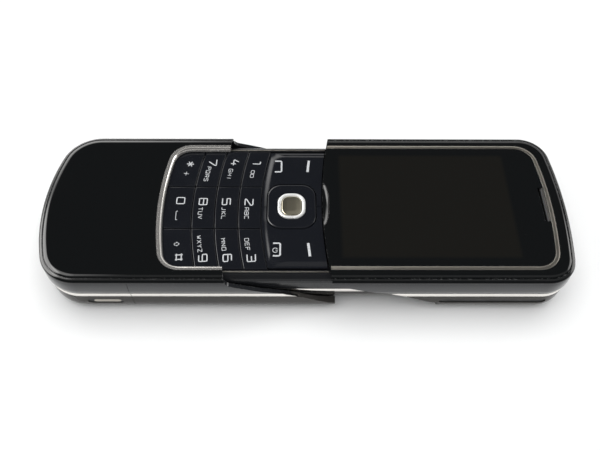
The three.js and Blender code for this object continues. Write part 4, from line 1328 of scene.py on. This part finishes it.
class Nodes:
    """Adds nodes to the tree of a material or of the world."""

    def __init__(self, tree):
        self.tree = tree

    def feed(self, socket, value):
        """Gives an input a link or a plain value."""
        if isinstance(value, bpy.types.NodeSocket):
            self.tree.links.new(value, socket)
        else:
            socket.default_value = value

    def node(self, kind, inputs=None, **settings):
        """Adds a node, with its settings and with what feeds its inputs, by their names or places."""
        made = self.tree.nodes.new(kind)
        for name, value in settings.items():
            setattr(made, name, value)
        for key, value in (inputs or {}).items():
            self.feed(made.inputs[key], value)
        return made

    def math(self, operation, *values):
        return self.node("ShaderNodeMath", dict(enumerate(values)), operation=operation).outputs["Value"]

    def dot(self, first, second):
        made = self.node("ShaderNodeVectorMath", {0: first, 1: second}, operation="DOT_PRODUCT")
        return made.outputs["Value"]

    def range(self, source, start, end, first, last, interpolation="LINEAR"):
        """Maps one span of values onto another, and holds its ends."""
        made = self.node(
            "ShaderNodeMapRange",
            {"Value": source, "From Min": start, "From Max": end, "To Min": first, "To Max": last},
            interpolation_type=interpolation,
        )
        return made.outputs["Result"]

    def place(self, kind):
        return self.node("ShaderNodeTexCoord").outputs[kind]

    def axes_of(self, vector):
        return self.node("ShaderNodeSeparateXYZ", {"Vector": vector}).outputs


class Finish(Nodes):
    """A material with helpers for gloss, mottling, dust, wear and relief in the object's own coordinates."""

    def __init__(self, name, base, metallic=0.0, roughness=0.3, coat=0.0):
        self.material = bpy.data.materials.new(name)
        self.material.use_nodes = True
        super().__init__(self.material.node_tree)
        self.shader = self.tree.nodes["Principled BSDF"]
        self.set("Base Color", (*base, 1))
        self.set("Metallic", metallic)
        self.set("Roughness", roughness)
        self.set("Coat Weight", coat)
        self.set("Coat Roughness", COAT_ROUGHNESS)

    def set(self, socket, value):
        self.feed(self.shader.inputs[socket], value)

    def now(self, socket):
        """What feeds one of the shader's inputs: a link, or its plain value."""
        current = self.shader.inputs[socket]
        return current.links[0].from_socket if current.is_linked else current.default_value

    def coordinates(self, stretch=(1, 1, 1)):
        mapping = self.node("ShaderNodeMapping", {"Vector": self.place("Object"), "Scale": stretch})
        return mapping.outputs["Vector"]

    def noise(self, scale, detail, stretch=(1, 1, 1)):
        inputs = {"Scale": scale, "Detail": detail, "Vector": self.coordinates(stretch)}
        return self.node("ShaderNodeTexNoise", inputs).outputs["Fac"]

    def overlay(self, share, shade):
        """Lays a shade over the base colour, as far as the share goes from zero to one."""
        mixed = self.node("ShaderNodeMix", {"Factor": share}, data_type="RGBA")
        first, second = (socket for socket in mixed.inputs if socket.type == "RGBA")
        self.feed(first, self.now("Base Color"))
        self.feed(second, (*shade, 1))
        self.set("Base Color", next(socket for socket in mixed.outputs if socket.type == "RGBA"))

    def smudges(self, lowest, highest, scale, stretch=(1, 1, 1)):
        """Uneven gloss, as handling leaves it."""
        self.set("Roughness", self.range(self.noise(scale, 4.0, stretch), 0.35, 0.65, lowest, highest))

    def mottle(self, other, scale, start=0.4, end=0.6):
        """A soft change between the base colour and another one."""
        self.overlay(self.range(self.noise(scale, 3.0), start, end, 0, 1), other)

    def relief(self, strength, scale, distance=0.02 * MM, stretch=(1, 1, 1)):
        """Fine bumps in the surface."""
        inputs = {"Strength": strength, "Distance": distance, "Height": self.noise(scale, 2.0, stretch)}
        self.set("Normal", self.node("ShaderNodeBump", inputs).outputs["Normal"])

    def dust(self, shade):
        """A few fine specks of dust."""
        cells = self.node("ShaderNodeTexVoronoi", {"Scale": DUST_SCALE, "Vector": self.coordinates()})
        speck = self.range(cells.outputs["Distance"], 0.05, 0.12, 1, 0)
        chosen = self.range(self.noise(DUST_SCALE * DUST_SPREAD, 1.0), 0.69, 0.72, 0, 1)
        self.overlay(self.math("MULTIPLY", speck, chosen), shade)

    def edge_wear(self, shade):
        """Small rubbed spots along the edges, found by how far the surface turns within a radius."""
        rounded = self.node("ShaderNodeBevel", {"Radius": WEAR_RADIUS}, samples=6)
        turn = self.dot(rounded.outputs["Normal"], self.node("ShaderNodeNewGeometry").outputs["Normal"])
        edge = self.range(turn, 0.995, 0.93, 0, 1)
        spots = self.range(self.noise(WEAR_SCALE, 4.0), 0.53, 0.62, 0, 1)
        worn = self.math("MULTIPLY", edge, spots)
        self.overlay(worn, shade)
        self.set("Roughness", self.math("MAXIMUM", self.now("Roughness"), self.range(worn, 0, 1, 0, 0.4)))


def dark_glass(name, over_screen):
    """Nearly black polished glass with faint smudges and dust. The switched-off screen shows as a warmer field."""
    made = Finish(name, tint("glass"), roughness=0.05)
    made.smudges(0.03, 0.09, 60.0)
    made.dust((0.05, 0.05, 0.05))
    if over_screen:
        made.overlay(screen_field(made), tint("screen"))
    made.edge_wear((0.12, 0.12, 0.12))
    return made


def smoked_glass():
    return dark_glass("smoked glass", False)


def display_glass():
    return dark_glass("display glass", True)


def screen_field(made):
    """One inside the screen's rectangle and zero outside, with a soft edge."""
    screen_low, screen_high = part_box("display_module")
    margin = 1.45 * MM
    soft = 0.5 * MM
    axes = made.axes_of(made.place("Object"))
    factor = 1.0
    for axis, low_end, high_end in (("X", screen_low.x, screen_high.x), ("Y", screen_low.y, screen_high.y)):
        for middle, first, last in ((low_end + margin, 0, 1), (high_end - margin, 1, 0)):
            ramp = made.range(axes[axis], middle - soft, middle + soft, first, last)
            factor = made.math("MULTIPLY", factor, ramp)
    return factor


def gunmetal():
    """Dark metallic paint, with a clear coat above the stripe and painted shade beneath it: duller, warmer and less
    glossy.
    """
    made = Finish("gunmetal", tint("gunmetal"), metallic=0.25, roughness=0.12, coat=0.4)
    made.mottle((0.026, 0.027, 0.03), 5200.0, 0.35, 0.75)
    made.smudges(0.09, 0.16, 80.0)
    stripe = sizes().back_radius + sizes().stripe_width / 2
    # Painted shade: beneath the stripe the paint turns warmer and loses its gloss and coat, standing in for the
    # shadowed table that the downward-facing band reflects
    painted_shade_below = made.range(made.axes_of(made.place("Object"))["Z"], stripe - 0.1 * MM, stripe + 0.1 * MM, 1, 0)
    made.overlay(painted_shade_below, (0.05, 0.047, 0.044))
    made.set("Specular IOR Level", made.range(painted_shade_below, 0, 1, 0.5, 0.1))
    made.set("Coat Weight", made.range(painted_shade_below, 0, 1, 0.3, 0))
    made.edge_wear((0.12, 0.12, 0.115))
    return made


def deck_black():
    """Satin black plastic of the core."""
    made = Finish("deck black", tint("deck"), roughness=0.22)
    made.set("Specular IOR Level", 0.35)
    made.smudges(0.16, 0.3, 150.0)
    made.edge_wear((0.06, 0.06, 0.06))
    made.relief(0.15, 4200.0)
    return made


def circuit_board():
    """Green solder mask with the tracks under it showing as ridges."""
    made = Finish("circuit board", (0.012, 0.12, 0.045), roughness=0.32)
    tracks = made.node("ShaderNodeTexBrick", {
        "Scale": 420.0,
        "Color1": (0.012, 0.12, 0.045, 1),
        "Color2": (0.016, 0.15, 0.06, 1),
        "Mortar": (0.03, 0.2, 0.09, 1),
        "Vector": made.coordinates(),
    })
    made.set("Base Color", tracks.outputs["Color"])
    made.relief(0.3, 1500.0)
    return made


DETAILED_FINISHES = {
    "smoked glass": smoked_glass,
    "display glass": display_glass,
    "gunmetal": gunmetal,
    "deck black": deck_black,
    "circuit board": circuit_board,
}

# Finishes that need no more than gloss, mottling and relief. Their base colour is the name of a colour
# property or plain numbers.
PLAIN_FINISHES = {
    # Mirror-polished metal with very fine scratches along the phone
    "polished metal": {
        "base": "polished", "metallic": 1.0, "roughness": 0.1,
        "smudges": (0.07, 0.15, 260.0, (0.2, 1, 1)), "relief": (0.05, 9000.0, 0.02 * MM, (0.05, 1, 1)),
    },
    # Fine satin metal of the ring round the keypad
    "ring metal": {"base": "polished", "metallic": 0.82, "roughness": 0.16, "smudges": (0.14, 0.18, 60.0)},
    # Bright metal, nearly white and mostly diffuse: a painted sheen that stands in for the reflections round a
    # polished ring
    "pearl metal": {
        "base": (0.84, 0.84, 0.82), "metallic": 0.35, "smudges": (0.26, 0.36, 900.0), "relief": (0.05, 9000.0),
    },
    # Satin metal with a brushed grain along the phone
    "champagne metal": {
        "base": "champagne", "metallic": 1.0, "roughness": 0.38,
        "smudges": (0.34, 0.42, 700.0, (0.05, 1, 1)), "relief": (0.06, 7000.0, 0.02 * MM, (0.03, 1, 1)),
    },
    # Satin metal of the select key
    "select satin": {
        "base": "select", "metallic": 1.0,
        "smudges": (0.26, 0.34, 300.0, (1, 0.1, 1)), "relief": (0.02, 6000.0, 0.02 * MM, (1, 0.05, 1)),
    },
    # Glossy blue-black plastic with the faintest waviness
    "key black": {
        "base": "key", "roughness": 0.12, "smudges": (0.08, 0.18, 210.0), "relief": (0.12, 700.0, 0.01 * MM),
    },
    # Light grey print, very slightly uneven
    "mark ink": {
        "base": "mark", "roughness": 0.45, "mottle": ((0.5, 0.51, 0.52), 2500.0), "relief": (0.1, 6000.0),
    },
    # The switched-off screen and its dark frame
    "screen": {"base": "screen", "roughness": 0.2, "smudges": (0.15, 0.25, 100.0), "relief": (0.05, 8000.0)},
    # Coated glass of the camera's window
    "lens": {"base": (0.006, 0.008, 0.014), "roughness": 0.03, "coat": 1.0, "smudges": (0.02, 0.06, 500.0)},
    # Matt moulded plastic with a fine grain
    "black plastic": {
        "base": (0.02, 0.02, 0.021), "roughness": 0.55, "smudges": (0.45, 0.65, 300.0), "relief": (0.4, 2600.0),
    },
    # Soft rubber of the key mat
    "key rubber": {
        "base": (0.035, 0.035, 0.038), "roughness": 0.75, "mottle": ((0.05, 0.05, 0.053), 400.0),
        "relief": (0.3, 3200.0),
    },
    # Stamped steel with a rolled grain
    "plain steel": {
        "base": (0.55, 0.55, 0.56), "metallic": 1.0,
        "smudges": (0.24, 0.38, 500.0, (0.1, 1, 1)), "relief": (0.2, 5000.0, 0.02 * MM, (0.05, 1, 1)),
    },
    # Grey film round the battery
    "battery wrap": {
        "base": (0.09, 0.095, 0.1), "roughness": 0.4, "mottle": ((0.11, 0.115, 0.12), 90.0),
        "relief": (0.25, 600.0, 0.05 * MM),
    },
    # Gold-plated contacts
    "contact gold": {
        "base": (0.8, 0.55, 0.2), "metallic": 1.0, "roughness": 0.25, "smudges": (0.2, 0.32, 1200.0),
    },
}
MADE = {}


def plain_finish(name, base, smudges=None, mottle=None, relief=None, **values):
    made = Finish(name, tint(base) if isinstance(base, str) else base, **values)
    if smudges:
        made.smudges(*smudges)
    if mottle:
        made.mottle(*mottle)
    if relief:
        made.relief(*relief)
    return made


def finish(name):
    """Gives a finish's material, which is made once."""
    if name not in MADE:
        if name in DETAILED_FINISHES:
            made = DETAILED_FINISHES[name]()
        else:
            made = plain_finish(name, **PLAIN_FINISHES[name])
        MADE[name] = made.material
    return MADE[name]


def build_inner_finishes():
    """Finishes of the pieces inside and of the small parts on the casing."""
    coat(finish("key rubber"), "keypad_mat")
    coat(finish("circuit board"), "key_board", "main_board")
    coat(finish("battery wrap"), "battery")
    coat(finish("lens"), "camera_window")
    coat(finish("polished metal"), "camera_ring")
    coat(
        finish("plain steel"), "shield_can", "sim_reader", "vibration_motor", "microphone", "navigation_pivot",
        "board_screw_lower_left", "board_screw_lower_right", "board_screw_upper_left",
        "board_screw_upper_right", "socket_shell", "slide_rail_left", "slide_rail_right",
    )
    coat(
        finish("black plastic"), "camera_module", "loudspeaker", "earpiece_receiver", "antenna_carrier",
        "socket_tongue",
    )


def build_socket_contacts():
    """A row of gold contacts on the socket's tongue."""
    tongue_low, tongue_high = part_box("socket_tongue")
    count = 5
    pitch = (tongue_high.x - tongue_low.x) / count
    strips = []
    for index in range(count):
        x = tongue_low.x + pitch * (index + 0.5)
        strips.append(block(
            (x - pitch * 0.25, x + pitch * 0.25),
            (tongue_low.y + 0.1 * MM, tongue_high.y - 0.3 * MM),
            (tongue_low.z - 0.06 * MM, tongue_low.z + 0.02 * MM),
        ))
    contacts = joined(strips)
    soften(contacts, 0.03 * MM, 1)
    piece_of(contacts, "socket_contacts", "sleeve", finish("contact gold"))


# Stage
SENSOR_WIDTH = 36


def build_camera():
    """The camera at the photograph's viewing angle."""
    view = bpy.context.scene.phone_camera
    back = Vector((
        math.sin(view.turn) * math.cos(view.elevation),
        -math.cos(view.turn) * math.cos(view.elevation),
        math.sin(view.elevation),
    ))
    right = Vector((math.cos(view.turn), math.sin(view.turn), 0))
    up = back.cross(right)
    rolled_right = right * math.cos(view.roll) + up * math.sin(view.roll)
    rolled_up = up * math.cos(view.roll) - right * math.sin(view.roll)
    data = bpy.data.cameras.new("camera")
    data.lens = view.lens
    data.sensor_width = SENSOR_WIDTH
    data.clip_start = 0.01
    data.clip_end = 20
    camera = add_object("camera", data)
    target = Vector((view.target_x, view.target_y, TOP))
    place = Matrix((rolled_right, rolled_up, back)).transposed().to_4x4()
    place.translation = target + back * view.distance
    camera.matrix_world = place
    bpy.context.scene.camera = camera


def build_floor():
    """A pale table that keeps the phone's shadow."""
    mesh = bmesh.new()
    bmesh.ops.create_grid(mesh, x_segments=1, y_segments=1, size=4)
    floor = solid_of(mesh, "floor")
    made = Finish("pale table", tint("floor"), roughness=0.6)
    made.set("Specular IOR Level", 0.1)
    made.mottle((0.945, 0.945, 0.94), 3.0)
    floor.data.materials.append(made.material)


class Surround(Nodes):
    """The world's glossy surround, made of soft bright fields on a dark ground."""

    def __init__(self, tree):
        super().__init__(tree)
        self.direction = self.place("Generated")
        self.axes = self.axes_of(self.direction)
        self.total = 0.0

    def add(self, field):
        self.total = self.math("ADD", self.total, field)

    def ease(self, value, start, end, first, last):
        return self.range(value, start, end, first, last, "SMOOTHSTEP")

    def patch(self, towards, radius, softness, strength):
        """A round soft box in one direction."""
        outer, inner = (math.cos(math.radians(radius + sign * softness / 2)) for sign in (1, -1))
        self.add(self.ease(self.dot(self.direction, Vector(towards).normalized()), outer, inner, 0, strength))

    def strip(self, lower, upper, softness, strength):
        """A long soft box along the phone, on its far side, between two heights in degrees."""
        angle = self.math("ARCTAN2", self.axes["Z"], self.axes["Y"])
        lower, upper, softness = (math.radians(value) for value in (lower, upper, softness))
        rising = self.ease(angle, lower - softness, lower, 0, strength)
        falling = self.ease(angle, upper, upper + softness, 1, 0)
        self.add(self.math("MULTIPLY", rising, falling))

    def background(self, red, green, blue, strength):
        inputs = {"Color": (red, green, blue, 1), "Strength": strength}
        return self.node("ShaderNodeBackground", inputs).outputs["Background"]

    def blend(self, factor, first, second):
        return self.node("ShaderNodeMixShader", {0: factor, 1: first, 2: second}).outputs["Shader"]


def build_world():
    """A white surround for the camera, an even dome for the light, and soft boxes for gloss."""
    world = bpy.data.worlds.new("studio")
    bpy.context.scene.world = world
    world.use_nodes = True
    world.node_tree.nodes.clear()
    made = Surround(world.node_tree)
    made.add(made.ease(made.axes["Z"], 0.02, 0.24, 0.8, 0.03))
    made.strip(20, 32, 4, 1.2)
    made.strip(88, 112, 6, 0.3)
    made.patch((-0.8, 0.15, 0.5), 25, 8, 6.0)
    made.patch((-0.5, 0.05, 0.86), 13, 8, 3.0)
    made.patch((-0.45, 0.82, 0.35), 18, 12, 3.0)
    made.patch((0.9, 0.25, 0.3), 16, 6, 3.0)
    rays = made.node("ShaderNodeLightPath").outputs
    dome = made.background(0.97, 0.985, 1.0, 0.45)
    gloss = made.background(1, 0.99, 0.975, made.total)
    white = made.background(1, 1, 1, 1.0)
    lit = made.blend(rays["Is Glossy Ray"], dome, gloss)
    seen = made.math("MAXIMUM", rays["Is Camera Ray"], rays["Is Transmission Ray"])
    made.node("ShaderNodeOutputWorld", {"Surface": made.blend(seen, lit, white)})


def build_lamps():
    """Broad soft lamps above and behind."""
    for name, place, size, power in (
        ("lamp_above", (0.0, -0.02, 0.95), 1.1, 8.8),
        ("lamp_left", (-0.8, -0.3, 0.7), 0.6, 1.0),
    ):
        data = bpy.data.lights.new(name, "AREA")
        data.shape = "SQUARE"
        data.size = size
        data.energy = power
        lamp = add_object(name, data)
        lamp.location = place
        lamp.rotation_mode = "QUATERNION"
        lamp.rotation_quaternion = Vector(place).to_track_quat("Z", "Y")
        lamp.visible_glossy = False
        lamp.visible_camera = False


# Operators
class PHONE_OT_stage(Operator):
    """Sets up the camera, the pale table, the surround and the lamps"""

    bl_idname = "phone.stage"
    bl_label = "Stage"

    def execute(self, context):
        build_camera()
        build_floor()
        build_world()
        build_lamps()
        context.scene.view_settings.view_transform = "Standard"
        return {"FINISHED"}


class PHONE_OT_sleeve(Operator):
    """Builds the sliding sleeve: sides, end cap, stripes, glass and ring"""

    bl_idname = "phone.sleeve"
    bl_label = "Sleeve"

    def execute(self, context):
        build_sleeve_sides()
        build_sleeve_stripes()
        build_sleeve_glass()
        build_socket_contacts()
        return {"FINISHED"}


class PHONE_OT_core(Operator):
    """Builds the core and the upper shell"""

    bl_idname = "phone.core"
    bl_label = "Core and upper shell"

    def execute(self, context):
        build_core()
        build_upper_shell()
        return {"FINISHED"}


class PHONE_OT_display(Operator):
    """Builds the display's window, its ring and the earpiece"""

    bl_idname = "phone.display"
    bl_label = "Display"

    def execute(self, context):
        build_display_glass()
        return {"FINISHED"}


class PHONE_OT_digit_keys(Operator):
    """Builds the twelve digit keys and their marks"""

    bl_idname = "phone.digit_keys"
    bl_label = "Digit keys"

    def execute(self, context):
        build_digit_keys()
        build_key_marks()
        return {"FINISHED"}


class PHONE_OT_function_keys(Operator):
    """Builds the function panel's halves and their marks"""

    bl_idname = "phone.function_keys"
    bl_label = "Function keys"

    def execute(self, context):
        build_function_keys()
        build_function_marks()
        return {"FINISHED"}


class PHONE_OT_navigation(Operator):
    """Builds the navigation key, its ring and the select key"""

    bl_idname = "phone.navigation"
    bl_label = "Navigation key"

    def execute(self, context):
        build_navigation()
        return {"FINISHED"}


class PHONE_OT_inner(Operator):
    """Gives the pieces inside and the small parts their finishes"""

    bl_idname = "phone.inner"
    bl_label = "Inner pieces"

    def execute(self, context):
        build_inner_finishes()
        return {"FINISHED"}


OPERATORS = (
    PHONE_OT_stage,
    PHONE_OT_sleeve,
    PHONE_OT_core,
    PHONE_OT_display,
    PHONE_OT_digit_keys,
    PHONE_OT_function_keys,
    PHONE_OT_navigation,
    PHONE_OT_inner,
)


class PHONE_PT_panel(Panel):
    """Lists the phone's sizes, colours and building steps"""

    bl_idname = "PHONE_PT_panel"
    bl_label = "Slider phone"
    bl_space_type = "VIEW_3D"
    bl_region_type = "UI"
    bl_category = "Phone"

    def draw(self, context):
        layout = self.layout
        for group in (context.scene.phone_sizes, context.scene.phone_colours, context.scene.phone_camera):
            box = layout.box()
            for name in group.__annotations__:
                box.prop(group, name)
        for operator in OPERATORS:
            layout.operator(operator.bl_idname)


CLASSES = (PhoneSizes, PhoneColours, PhoneCamera, *OPERATORS, PHONE_PT_panel)


def register():
    for item in CLASSES:
        bpy.utils.register_class(item)
    bpy.types.Scene.phone_sizes = PointerProperty(type=PhoneSizes)
    bpy.types.Scene.phone_colours = PointerProperty(type=PhoneColours)
    bpy.types.Scene.phone_camera = PointerProperty(type=PhoneCamera)


def unregister():
    for name in ("phone_sizes", "phone_colours", "phone_camera"):
        delattr(bpy.types.Scene, name)
    for item in reversed(CLASSES):
        bpy.utils.unregister_class(item)


def main():
    register()
    bpy.ops.phone.stage()
    bpy.ops.phone.sleeve()
    bpy.ops.phone.core()
    bpy.ops.phone.display()
    bpy.ops.phone.digit_keys()
    bpy.ops.phone.function_keys()
    bpy.ops.phone.navigation()
    bpy.ops.phone.inner()


if __name__ == "__main__":
    main()
